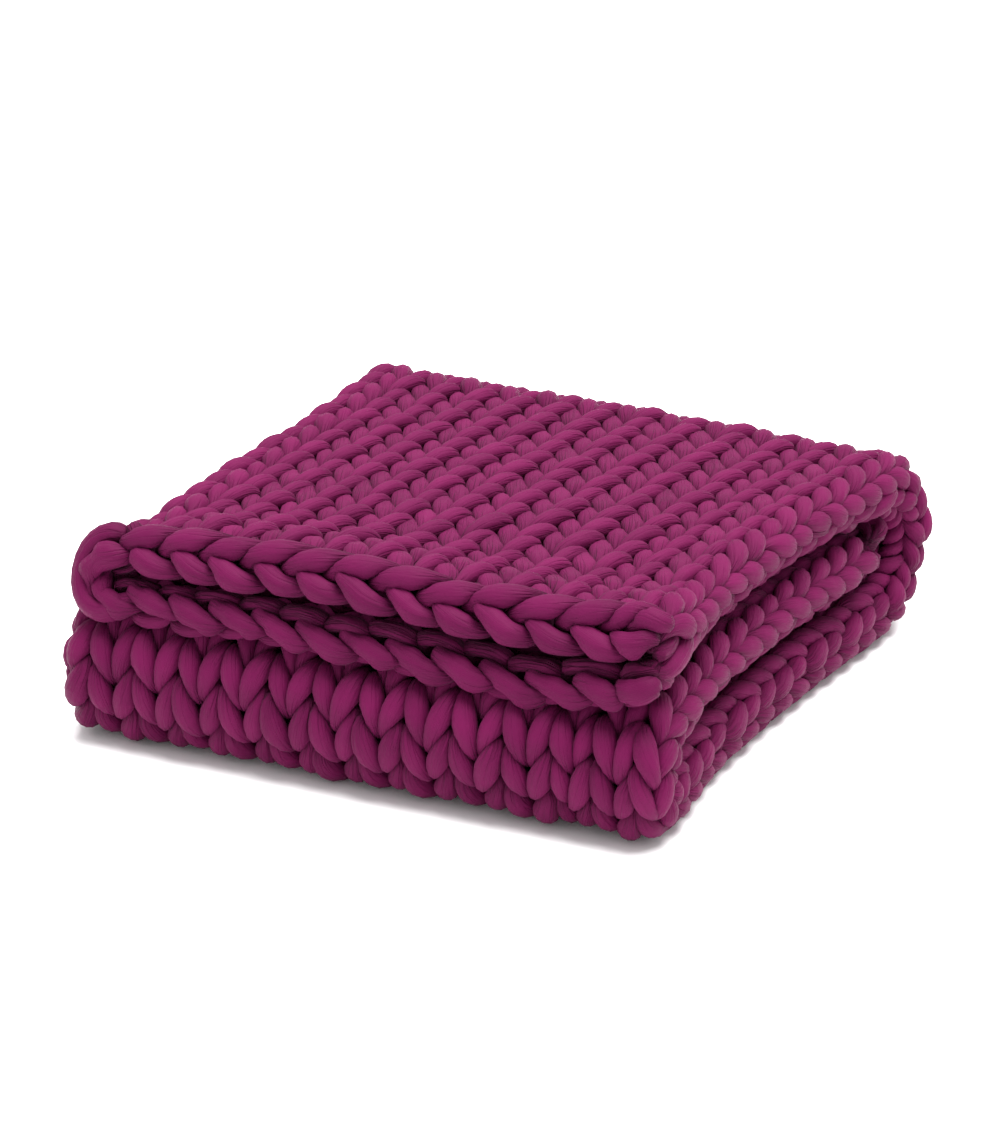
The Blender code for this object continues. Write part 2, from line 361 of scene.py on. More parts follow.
@dataclass
class PlainStitch:
    """The middle line of the tube in plain knitting, on the flat cloth.

    With g the place along a course in wales and t = 4 pi g, the tube goes across as g + lean x the
    angle of (1 - b cos t, b sin t), which swings quickly at the heads (whole g) and the sinkers (half
    g) and slowly along the legs of each V between them. It goes along as reach cos(2 pi g), and out as
    level - swing cos t - plateau cos 2t + tip cos(2 pi g), so the legs lie in front. To each of these
    a stray is added, a mixture of sines that differs from course to course.

    A V's right leg follows its head and its left leg comes before it, so sin(2 pi g) is above 0 on
    right legs and below 0 on left ones. On the top of the pile the two lie differently: right legs
    lie higher, flat and in line like a rope, and left legs are tucked in beside them as short blocks.
    """

    pile: FoldedPile
    ladder: CourseLadder
    lean: float = 24.0  # how far a leg swings across, in mm for each radian
    top_lean: float = 0.24  # how much more on the top, as a share
    quick: float = 0.5  # b of the swing across
    rounding: float = 0.2  # half the stretch over which the spacing of the wales is evened, in wales
    reach: float = 27.0  # how far a head lies ahead of its course's middle
    level: float = -1.5
    swing: float = 6.0
    plateau: float = 1.0
    tip: float = 2.6  # how much higher a leg's head end lies
    top_tip: float = 1.3  # how much of that a left leg on the top loses, as a share
    push: float = 0.12  # a head end's share of a gap, over a half
    bumps: float = -0.18  # the same where the lining face shows, at the free edge
    radius: float = 13.6  # of the free tube
    drawn: float = 0.62  # how much thinner the heads and sinkers are, as a share
    drawn_lining: float = 0.4  # the share of that where the lining face shows, at the free edge
    bumpy_courses: tuple[int, int] = (2, 3)  # in how many courses it shows there, for push and girth
    # how much shorter the thin part is on the top, and how much less so on right legs
    drawn_top: tuple[float, float] = (1.1, 0.7)
    # how much thinner right legs are on the top and fatter left ones, and how much fatter the end of a
    # leg that comes first along the tube, as shares
    block: tuple[float, float] = (0.20, 0.10)
    rim: float = 0.16  # how much thinner the tube is at the end of a course, as a share
    rim_from: tuple[float, float] = (0.05, 0.25)  # how far past the last wale's middle that sets in
    uneven: float = 3.7  # how far hand knitting strays, in mm
    # what the stray does: mm to the lean, shares of uneven across and out, and a share of the girth
    strays: tuple[float, float, float, float] = (2.5, 0.7, 0.65, 0.15)
    # place along a course, in wales from the side fold, and how far across the cloth it lies
    wale_line: tuple[tuple[float, float], ...] = (
        (-13.5, -567.0), (-12.5, -545.0), (-11.5, -486.0), (-10.5, -431.0), (0.0, 10.0), (7.5, 325.5),
        (8.5, 369.5), (9.5, 414.5), (10.5, 458.0), (11.5, 490.0), (12.5, 546.0), (13.5, 567.0),
    )
    dip: float = 3.0  # how much lower the narrow wale next to the selvedge lies
    dip_at: float = 11.2
    dip_spread: float = 0.5  # the square of how far on each side, in wales
    tuck: float = 9.0  # how much lower the first courses lie at the side fold, behind the chain
    tuck_width: float = 1.3  # how far on each side, in wales
    tuck_courses: tuple[float, float] = (0.3, 3.0)  # over which courses that fades
    # how much further in the lower half's first course lies, behind the chain, and how much nearer the
    # free edge
    lip: tuple[float, float] = (6.5, 5.0)
    lip_wales: tuple[float, float, float, float] = (2.0, 6.0, 11.2, 12.6)  # where it comes and fades
    lip_courses: tuple[float, float] = (0.0, 1.5)  # over which courses it fades
    # between which wales the lie of the stitches on the top sets in, and between which it ends
    top_wales: tuple[float, float, float, float] = (0.3, 1.5, 12.0, 12.6)
    top_fade: float = 3.0  # in how many courses it ends at the back fold
    ridge: float = 1.4  # how much higher right legs lie on the top, and left legs lower
    ridge_push: float = -0.15  # how much more of a gap they take there, and left legs less
    tail_push: float = 0.09  # the same for the end of a leg that comes first along the tube
    free: float = 40.0  # how far out a leg may swell where nothing holds it
    roof: float = 10.8  # how far out a left leg on the top may

    def stray(self, place: np.ndarray, course: np.ndarray, kind: float) -> np.ndarray:
        """Mix three sines of the place, a slow, a quick and a short one, shifted by the course.

        Their numbers have no common measure, so that the pattern doesn't repeat.

        Args:
            place: places along the course, in wales.
            course: number of the course.
            kind: a number for what strays, so that each thing strays in its own way.

        Returns:
            The stray, from -1 to 1.
        """
        slow = np.sin(1.31 * place + 5.1 * course + 2.3 * kind)
        quick = np.sin(2.93 * place - 3.7 * course + 4.9 * kind + 1.0)
        short = np.sin(5.7 * place + 2.2 * course * course + 1.7 * kind)
        return 0.35 * slow + 0.3 * quick + 0.35 * short

    def middle(self, place: np.ndarray, course: np.ndarray) -> Triple:
        """Follow the tube of whole courses.

        Args:
            place: places along the course, in wales from the side fold.
            course: number of the course, of the same shape.

        Returns:
            Across, along and out, in millimetres.
        """
        turn = 2.0 * math.pi * place
        top = self.on_top(place, course)
        to_lean, to_across, to_out, _ = self.strays
        lean = self.lean * (1.0 + self.top_lean * top) + to_lean * self.stray(place, course, 1.0)
        swung = np.arctan2(self.quick * np.sin(2.0 * turn), 1.0 - self.quick * np.cos(2.0 * turn))
        line = np.array(self.wale_line).T
        width = (np.interp(place + 0.5, *line) - np.interp(place - 0.5, *line)) / self.pile.wale
        last = self.pile.side_wales
        cut_off = np.interp(np.abs(place), (last - 0.5, last + 0.5), (1.0, 0.5))  # by the line's ends
        width = width / cut_off
        before, after = np.interp(place - self.rounding, *line), np.interp(place + self.rounding, *line)
        across = (before + after) / 2 + lean * width * swung
        across = across + to_across * self.uneven * self.stray(place, course, 2.0)
        rise = self.reach * np.cos(turn) + self.uneven * self.stray(place, course, 3.0)
        first, whole, fading, gone = self.lip_wales
        lip = smooth_step(-place, first, whole) * (1.0 - smooth_step(-place, fading, gone))
        lip = lip * (1.0 - smooth_step(course, *self.lip_courses))
        rise = rise - self.lip[1] * lip
        left = top * (0.5 - 0.5 * np.sin(turn))
        out = self.level - self.swing * np.cos(2.0 * turn) - self.plateau * np.cos(4.0 * turn)
        out = out + self.tip * (1.0 - self.top_tip * left) * np.cos(turn)
        out = out + to_out * self.uneven * self.stray(place, course, 4.0)
        out = out - self.dip * np.exp(-((place - self.dip_at) ** 2) / self.dip_spread)
        tucked = np.exp(-((place / self.tuck_width) ** 2))
        tucked = tucked * (1.0 - smooth_step(course, *self.tuck_courses))
        out = out - self.tuck * tucked + self.ridge * top * np.sin(turn) - self.lip[0] * lip
        return across, self.ladder.along(course + rise / self.ladder.pitch), out

    def on_top(self, place: np.ndarray, course: np.ndarray) -> np.ndarray:
        """Tell what lies on the top of the pile, with soft steps at its sides and at the back fold.

        Args:
            place: places along the course, in wales.
            course: number of the course.

        Returns:
            1 on the top, and less towards its sides and the back fold.
        """
        last = float(self.ladder.course_at(self.pile.run_span("back fold")[0]))
        first, whole, fading, gone = self.top_wales
        inside = smooth_step(place, first, whole) * (1.0 - smooth_step(place, fading, gone))
        return inside * (1.0 - smooth_step(course, last, last + self.top_fade))

    def might(self, place: np.ndarray, course: np.ndarray) -> np.ndarray:
        """Find how much more than its half of a gap the tube takes, as push cos(2 pi g).

        On the top left legs push less, and sines of 2 pi g and 4 pi g are added for each leg's part.

        Args:
            place: places along the course, in wales.
            course: number of the course.

        Returns:
            The share over a half: most at heads, least at sinkers.
        """
        bumpy = (place < 0.0) & (course < self.bumpy_courses[0])
        push = np.where(bumpy, self.bumps, self.push)
        turn = 2.0 * math.pi * place
        top = self.on_top(place, course)
        push = push * (1.0 - top * (0.5 - 0.5 * np.sin(turn)))
        of_legs = self.ridge_push * np.sin(turn) + self.tail_push * np.sin(2.0 * turn)
        return push * np.cos(turn) + top * of_legs

    def ceiling(self, place: np.ndarray, course: np.ndarray) -> np.ndarray:
        """Return how far out a leg may swell: left legs on the top are flattened."""
        left = smooth_step(-np.sin(2.0 * math.pi * place), 0.0, 0.5) * self.on_top(place, course)
        return self.free - (self.free - self.roof) * left

    def girth(self, place: np.ndarray, course: np.ndarray) -> np.ndarray:
        """Find the free radius of the tube: fattest on the legs, drawn in at heads and sinkers.

        The swell is 1 - drawn x a power of (1 + cos 4 pi g) / 2, and the rest are shares close to 1.

        Args:
            place: places along the course, in wales.
            course: number of the course.

        Returns:
            The radius, in millimetres.
        """
        turn = 2.0 * math.pi * place
        top = self.on_top(place, course)
        bumpy = (place < 0.0) & (course < self.bumpy_courses[1])
        drawn = np.where(bumpy, self.drawn_lining * self.drawn, self.drawn)
        sharp = 1.0 + top * (self.drawn_top[0] - self.drawn_top[1] * np.sin(turn))
        swell = 1.0 - drawn * (0.5 + 0.5 * np.cos(2.0 * turn)) ** sharp
        last = self.pile.side_wales
        start, end = self.rim_from
        rim = 1.0 - self.rim * smooth_step(np.abs(place), last + start, last + end)
        block = 1.0 - top * (self.block[0] * np.sin(turn) - self.block[1] * np.sin(2.0 * turn))
        uneven = 1.0 + self.strays[3] * self.stray(place, course, 5.0)
        return self.radius * swell * rim * block * uneven


class ChainSide(Enum):
    """Which of a chain stitch's two strands: the one at the lining or the one at the outer face."""

    LINING = -1
    OUTER = 1


@dataclass
class ChainStitch:
    """The two strands of each chain stitch along a knitted end, on the flat cloth.

    With q from -1 to 1, a strand goes across by half its length x q, leans in or out of the layer as
    the sine of pi q / 2, and stands out of the end face as 1 - |q|^2.6. The end nearer the side fold is
    blunt, and the other is drawn out to a point. The number of a strand is that of its wale. The
    strand at 0 goes round the side fold and is longer than the others. Near the selvedges a soft limit
    turns the last strands in.
    """

    pile: FoldedPile
    ladder: CourseLadder
    # each of the next five: of the lining strand and of the outer one
    length: tuple[float, float] = (67.0, 58.0)
    fold_shift: tuple[float, float] = (16.0, -13.0)  # how far across the strand at 0 is moved
    fold_length: tuple[float, float] = (84.0, 106.0)  # its length
    aside: tuple[float, float] = (0.0, 4.0)  # how much nearer the side fold the other strands lie
    gain: tuple[float, float] = (-8.5, 3.0)  # how far a strand's end leans out
    upper_length: float = 8.0  # how much longer the upper half's outer strands are
    # number of a strand, and its length as a share, for lining strands and for all
    lining_lengths: tuple[tuple[float, float], ...] = ((-2.0, 1.0), (-1.0, 1.15), (0.0, 1.0))
    last_lengths: tuple[tuple[float, float], ...] = ((11.0, 1.0), (12.0, 1.15), (13.0, 0.9))
    # number of a strand, and how far across its middle lies
    places: tuple[tuple[float, float], ...] = (
        (-13.0, -546.0), (-2.0, -80.0), (-1.0, -27.0), (0.0, 0.0), (1.0, 67.0), (12.0, 529.0),
        (13.0, 552.0),
    )
    fold_swell: float = 1.12  # the girth of the strand at 0, as a share
    fold_out: float = 6.0  # how much further out its outer strand's middle lies
    fold_end: float = 6.0  # how much further in that one's end on the upper half lies
    far_fold_out: float = -6.0  # how much further out it lies at the tucked-in end
    seat: float = 16.5  # the chain's own middle, from the free edge
    # each of the next six: on the lower half and on the upper
    proud: tuple[float, float] = (4.0, 5.5)  # how far its middle stands out of the end face
    sunk: tuple[float, float] = (3.0, 8.0)  # how far its ends are drawn in
    lining_radius: tuple[float, float] = (16.0, 17.0)  # of the free lining strand
    outer_radius: tuple[float, float] = (8.5, 13.2)  # and of the outer one
    lining_out: tuple[float, float] = (-4.5, -4.3)  # out at its middle
    outer_out: tuple[float, float] = (1.5, 6.8)
    # how much further out the lower half's outer strands lie, and between which distances from the
    # side fold that fades
    lower_out: tuple[float, float, float] = (6.5, 60.0, 240.0)
    lower_back: float = 7.0  # how much further in from the edge they lie
    # number of a lining strand, and its share of the lean
    lining_leans: tuple[tuple[float, float], ...] = ((-1.0, 0.45), (0.0, 0.6), (1.0, 1.0))
    fold_lean: float = -0.2  # the share of that for the upper end of the lining strand at 0
    last_lean: float = 0.25  # and for the last lining strands
    # how much of its lean a strand loses by the selvedge, as a share, and between which distances
    lean_back: tuple[float, float, float] = (1.1, 505.0, 550.0)
    # how much further out the outer strands lie near the upper selvedge, and between which distances
    last_rise: tuple[float, float, float] = (3.0, 330.0, 500.0)
    # how far the outer strands' ends go down, and twice that at the upper half's blunt ends
    ends_drop: float = 4.0
    # how far strands stray: a share of the length, and mm along and out
    strays: tuple[float, float, float] = (0.03, 0.8, 1.2)
    fold_reach: float = 15.0  # how far across the side fold's own rise goes
    halves_meet: float = 20.0  # how far on each side of the side fold the halves' sizes blend
    push: float = 0.30  # the share of a gap, over a half, of the end that lies over its neighbour
    weak_push: float = -0.3  # the same all along the lower half's outer strands
    tuck: float = 0.5  # how much less that end is drawn in, and how much more the other, as a share
    ends_at: float = 554.0  # how far across the chain may reach
    soft_end: float = 24.0  # over which distance it turns in

    def middle(self, wale: np.ndarray, q: np.ndarray, side: ChainSide, far_end: bool) -> Triple:
        """Follow one strand.

        Args:
            wale: number of the wale it belongs to.
            q: places along the strand, from -1 to 1.
            side: which of the two strands.
            far_end: whether it lies on the inner end of the cloth and not on the free one.

        Returns:
            Across, along and out, in millimetres.
        """
        lining = side is ChainSide.LINING
        which = 0 if lining else 1
        stray = np.sin(2.1 * wale + side.value)
        length = np.where(wale == 0, self.fold_length[which], self.length[which])
        if lining:
            length = length * np.interp(wale, *zip(*self.lining_lengths))
        length = length * np.interp(wale, *zip(*self.last_lengths))
        if not lining:
            length = length + self.upper_length * (wale > 0)
        shift = np.where(wale == 0, self.fold_shift[which], -self.aside[which] * np.sign(wale))
        across = np.interp(wale, *zip(*self.places)) + shift
        across = across + length / 2 * q * (1.0 + self.strays[0] * stray)
        free = self.ends_at - self.soft_end
        past = self.soft_end * np.tanh(np.maximum(np.abs(across) - free, 0.0) / self.soft_end)
        across = np.sign(across) * (np.minimum(np.abs(across), free) + past)
        bulge = 1.0 - np.abs(q) ** 2.6
        upper = smooth_step(across, -self.halves_meet, self.halves_meet)
        proud = self.proud[0] + (self.proud[1] - self.proud[0]) * upper
        sunk = self.sunk[0] + (self.sunk[1] - self.sunk[0]) * upper
        sunk = sunk * (1.0 - self.tuck * self.over_end(wale, q, side))
        along = self.seat + sunk - (sunk + proud) * bulge + self.strays[1] * stray
        low, high = self.lining_out if lining else self.outer_out
        lost, start, end = self.lean_back
        gain = self.gain[which] * (1.0 - lost * smooth_step(np.abs(across), start, end))
        if lining:
            gain = gain * np.interp(wale, *zip(*self.lining_leans))
            gain = np.where((wale == 0) & (q > 0.0), self.fold_lean * gain, gain)
            gain = np.where(self.at_selvedge(wale, side), self.last_lean * gain, gain)
        out = low + (high - low) * upper + gain * np.sin(math.pi / 2 * q)
        out = out + self.strays[2] * np.sin(3.7 * wale)
        if not lining:
            height, start, end = self.lower_out
            rise = height * (1.0 - smooth_step(-across, start, end)) * (wale < 0)
            round_fold = self.fold_out * np.exp(-((across / self.fold_reach) ** 2))
            round_fold = round_fold - self.fold_end * np.maximum(q, 0.0)
            round_fold = np.where(wale == 0, self.far_fold_out if far_end else round_fold, 0.0)
            drop = self.ends_drop * np.where((q < 0.0) & (wale > 0), 2.0, 1.0)
            out = out - drop * q**2 + round_fold + rise
            height, start, end = self.last_rise
            out = out + height * smooth_step(across, start, end)
            along = along + self.lower_back * (wale < 0)
        if far_end:
            along = self.pile.fine[-1] - along
        return across, along, out

    def worked(self, wale: np.ndarray, side: ChainSide) -> np.ndarray:
        """Tell which strands there are: the outer one round the fold stands for the next one too."""
        return wale != (self.pile.side_wales if side is ChainSide.LINING else -1)

    def at_selvedge(self, wale: np.ndarray, side: ChainSide) -> np.ndarray:
        """Tell which strands are the last ones at a selvedge."""
        last = self.pile.side_wales
        return (wale == (last - 1 if side is ChainSide.LINING else last)) | (wale == -last)

    def over_end(self, wale: np.ndarray, q: np.ndarray, side: ChainSide) -> np.ndarray:
        """Turn q so that 1 is the end that lies over its neighbour, and make it 0 on the strand at 0.

        That is the end nearer the side fold, but for the upper half's lining strands.

        Args:
            wale: number of the wale.
            q: places along the strand, from -1 to 1.
            side: which of the two strands.

        Returns:
            The turned q.
        """
        turned = -q * np.sign(wale + 0.1) * (wale != 0)
        return np.where((wale > 0) & (side is ChainSide.LINING), -turned, turned)

    def might(self, wale: np.ndarray, q: np.ndarray, side: ChainSide) -> np.ndarray:
        """Return how much more than its half of a gap it takes: most at the end that lies over."""
        weak = (wale < 0) & (side is ChainSide.OUTER)
        return np.where(weak, self.weak_push, self.push * self.over_end(wale, q, side) * (wale != 0))

    def girth(self, wale: np.ndarray, q: np.ndarray, side: ChainSide) -> np.ndarray:
        """Find the strand's free radius: blunt at the end nearer the side fold, a point at the other.

        With w the place from the middle to an end, the blunt end goes as the root of 1 - 0.94 w^5, or
        as 1 - 0.6 w^3 on the upper half's outer strands, and the point as 1 - 0.85 w^2.6. The strand at
        0 and the last ones keep their girth, as 1 - 0.85 w^7.

        Args:
            wale: number of the wale.
            q: places along the strand, from -1 to 1.
            side: which of the two strands.

        Returns:
            The radius, in millimetres.
        """
        low, high = self.lining_radius if side is ChainSide.LINING else self.outer_radius
        outward = q * np.sign(wale + 0.1)
        inner = np.abs(np.minimum(outward, 0.0))
        blunt = np.sqrt(1.0 - 0.94 * inner**5)
        if side is ChainSide.OUTER:
            blunt = np.where(wale > 0, 1.0 - 0.6 * inner**3, blunt)
        power = np.where((wale == 0) | self.at_selvedge(wale, side), 7.0, 2.6)
        point = 1.0 - 0.85 * np.maximum(outward, 0.0) ** power
        return np.where(wale < 0, low, high) * blunt * point * np.where(wale == 0, self.fold_swell, 1.0)


@dataclass
class SelvedgeTurn:
    """The tube's turn from one course to the next, round the edge of the cloth."""

    pile: FoldedPile
    stitch: PlainStitch
    bulge: float = 3.0  # how far it stands out past the last wale
    lift: float = 3.0  # how much further out its middle lies than its ends
    radius: float = 9.0  # of the free tube there

    def middle(self, side: int, course: np.ndarray, q: np.ndarray) -> Triple:
        """Follow a turn from the end of a course, at q = 0, to the end of the next, at q = 1.

        Args:
            side: 1 at the upper half's selvedge, -1 at the lower half's.
            course: number of the course that it leaves.
            q: places along the turn.

        Returns:
            Across, along and out, in millimetres.
        """
        sweep = np.sin(math.pi * q)
        across = side * (self.pile.half_width + self.bulge * sweep)
        rise = course - self.stitch.reach / self.stitch.ladder.pitch + q
        return across, self.stitch.ladder.along(rise), -self.stitch.swing + self.lift * sweep

    def joined(self, side: int, course: int) -> bool:
        """Tell whether the tube turns from this course to the next at that selvedge."""
        return (course + (side < 0)) % 2 == 0


@dataclass
class Skeleton:
    """Points along every tube of the cloth, by wale and course, to read a tube's neighbours from."""

    pile: FoldedPile
    ladder: CourseLadder
    stitch: PlainStitch
    chain: ChainStitch
    turn: SelvedgeTurn
    per_stitch: int = 16  # points to a stitch
    margin: int = 3  # empty wales and courses round the cloth's own

    def __post_init__(self) -> None:
        """Fill the grid: courses, then a chain before the first and after the last, then the turns."""
        wales = self.pile.side_wales
        rows, half = self.ladder.courses, self.per_stitch // 2
        shape = (2 * (wales + self.margin) + 1, rows + 2 * self.margin, self.per_stitch, 3)
        self.points = np.full(shape, FAR_AWAY)
        self.might = np.zeros(shape[:3])
        number = np.arange(-wales, wales + 1)
        spot = (np.arange(self.per_stitch) + 0.5) / self.per_stitch - 0.5
        place = number[:, None, None] + spot[None, None, :]
        course = np.arange(rows)[None, :, None]
        place, course = np.broadcast_arrays(place, course)
        own = slice(self.margin, -self.margin)
        self.points[own, own] = self.pile.place(*self.stitch.middle(place, course))
        self.might[own, own] = self.stitch.might(place, course)
        q = np.linspace(-1.0, 1.0, half)[None, :]
        for row, far_end in ((self.margin - 1, False), (self.margin + rows, True)):
            for first, side in ((0, ChainSide.LINING), (half, ChainSide.OUTER)):
                line = self.chain.middle(number[:, None], q, side, far_end)
                there = self.chain.worked(number, side)[:, None, None]
                placed = self.pile.place(*np.broadcast_arrays(*line))
                self.points[own, row, first:first + half] = np.where(there, placed, FAR_AWAY)
                self.might[own, row, first:first + half] = self.chain.might(number[:, None], q, side)
        q = (np.arange(self.per_stitch) + 0.5) / self.per_stitch
        for side in (-1, 1):
            column = self.margin + wales + side * (wales + 1)
            for row in (r for r in range(rows - 1) if self.turn.joined(side, r)):
                line = self.turn.middle(side, row, q)
                self.points[column, row + self.margin] = self.pile.place(*np.broadcast_arrays(*line))

    def round_about(self, wale: np.ndarray, course: np.ndarray) -> tuple[np.ndarray, np.ndarray]:
        """Gather the points of the stitches round each stitch: one wale and two courses each way.

        Args:
            wale: number of the wale of each stitch.
            course: number of its course, where -1 is the free end's chain.

        Returns:
            For each stitch, the points round it, and the might of each.
        """
        across = np.arange(-1, 2)[None, :, None]
        along = np.arange(-2, 3)[None, None, :]
        columns, rows = self.points.shape[:2]
        first = wale[:, None, None] + across + self.pile.side_wales + self.margin
        first = np.clip(first, 0, columns - 1)
        second = np.clip(course[:, None, None] + along + self.margin, 0, rows - 1)
        points, might = self.points[first, second], self.might[first, second]
        return points.reshape(len(wale), -1, 3), might.reshape(len(wale), -1)


@dataclass(frozen=True)
class Detail:
    """How finely a tube is built: rings to a stitch, and sides to a ring."""

    rings: int
    sides: int


class Fineness(Enum):
    """The grades of detail: what shows best, what is seen aslant, the underside, and the inside."""

    FINE = Detail(32, 16)
    GOOD = Detail(28, 14)
    PLAIN = Detail(24, 12)
    INNER = Detail(14, 8)


@dataclass
class TubeMesh:
    """Tubes gathered for one mesh: points, quads, triangles and what the finish reads."""

    points: list[np.ndarray] = field(default_factory=list)
    quads: list[np.ndarray] = field(default_factory=list)
    triangles: list[np.ndarray] = field(default_factory=list)
    yarn: list[np.ndarray] = field(default_factory=list)
    pinch: list[np.ndarray] = field(default_factory=list)
    tone: list[np.ndarray] = field(default_factory=list)
    count: int = 0

    def add(self, rings: np.ndarray, ends: np.ndarray, yarn: np.ndarray, pinch: np.ndarray,
            tone: np.ndarray) -> None:
        """Add tubes that are alike: side quads between rings, and a fan to a point at each end.

        Args:
            rings: points, as tube, ring, side and 3.
            ends: the fans' points, as tube, 2 and 3.
            yarn: place on the straight tube, as tube, ring, side and 3.
            pinch: how far each point is squeezed, as tube, ring and side.
            tone: a shade for each ring, as tube and ring.
        """
        tubes, length, sides, _ = rings.shape
        index = self.count + np.arange(tubes * length * sides).reshape(tubes, length, sides)
        onward = np.roll(index, -1, axis=2)
        quads = np.stack([index[:, :-1], onward[:, :-1], onward[:, 1:], index[:, 1:]], axis=-1)
        tips = self.count + index.size + np.arange(2 * tubes).reshape(tubes, 2)
        near = np.broadcast_to(tips[:, :1], (tubes, sides))
        far = np.broadcast_to(tips[:, 1:], (tubes, sides))
        start = np.stack([near, onward[:, 0], index[:, 0]], axis=-1)
        finish = np.stack([far, index[:, -1], onward[:, -1]], axis=-1)
        self.points += [rings.reshape(-1, 3), ends.reshape(-1, 3)]
        self.quads.append(quads.reshape(-1, 4))
        self.triangles += [start.reshape(-1, 3), finish.reshape(-1, 3)]
        self.yarn += [yarn.reshape(-1, 3), yarn[:, [0, -1], 0].reshape(-1, 3)]
        self.pinch += [pinch.reshape(-1), pinch[:, [0, -1], 0].reshape(-1)]
        whole_tone = np.broadcast_to(tone[:, :, None], rings.shape[:3])
        self.tone += [whole_tone.reshape(-1), tone[:, [0, -1]].reshape(-1)]
        self.count += index.size + 2 * tubes

    def build(self, name: str) -> bpy.types.Object:
        """Make the mesh and its object, in metres and shaded smooth.

        Args:
            name: the object's name and the mesh's.

        Returns:
            The object.
        """
        points = np.concatenate(self.points) * METRE
        quads, triangles = np.concatenate(self.quads), np.concatenate(self.triangles)
        corners = np.concatenate([quads.ravel(), triangles.ravel()]).astype(np.int32)
        sizes = np.concatenate([np.full(len(quads), 4), np.full(len(triangles), 3)])
        starts = np.concatenate([[0], np.cumsum(sizes)[:-1]]).astype(np.int32)
        mesh = bpy.data.meshes.new(name)
        mesh.vertices.add(len(points))
        mesh.vertices.foreach_set("co", points.astype(np.float32).ravel())
        mesh.loops.add(len(corners))
        mesh.loops.foreach_set("vertex_index", corners)
        mesh.polygons.add(len(sizes))
        mesh.polygons.foreach_set("loop_start", starts)
        mesh.update(calc_edges=True)
        mesh.validate()
        for label, kind, values in (
            ("yarn", "FLOAT_VECTOR", np.concatenate(self.yarn) * METRE),
            ("pinch", "FLOAT", np.concatenate(self.pinch)),
            ("tone", "FLOAT", np.concatenate(self.tone)),
        ):
            slot = mesh.attributes.new(label, kind, "POINT")
            slot.data.foreach_set("vector" if kind == "FLOAT_VECTOR" else "value",
                                  values.astype(np.float32).ravel())
        mesh.shade_smooth()
        piece = bpy.data.objects.new(name, mesh)
        bpy.context.scene.collection.objects.link(piece)
        return piece


@dataclass
class Bounds:
    """How far out and in of its layer's middle a tube may swell, ring by ring, in millimetres."""

    below: np.ndarray
    above: np.ndarray


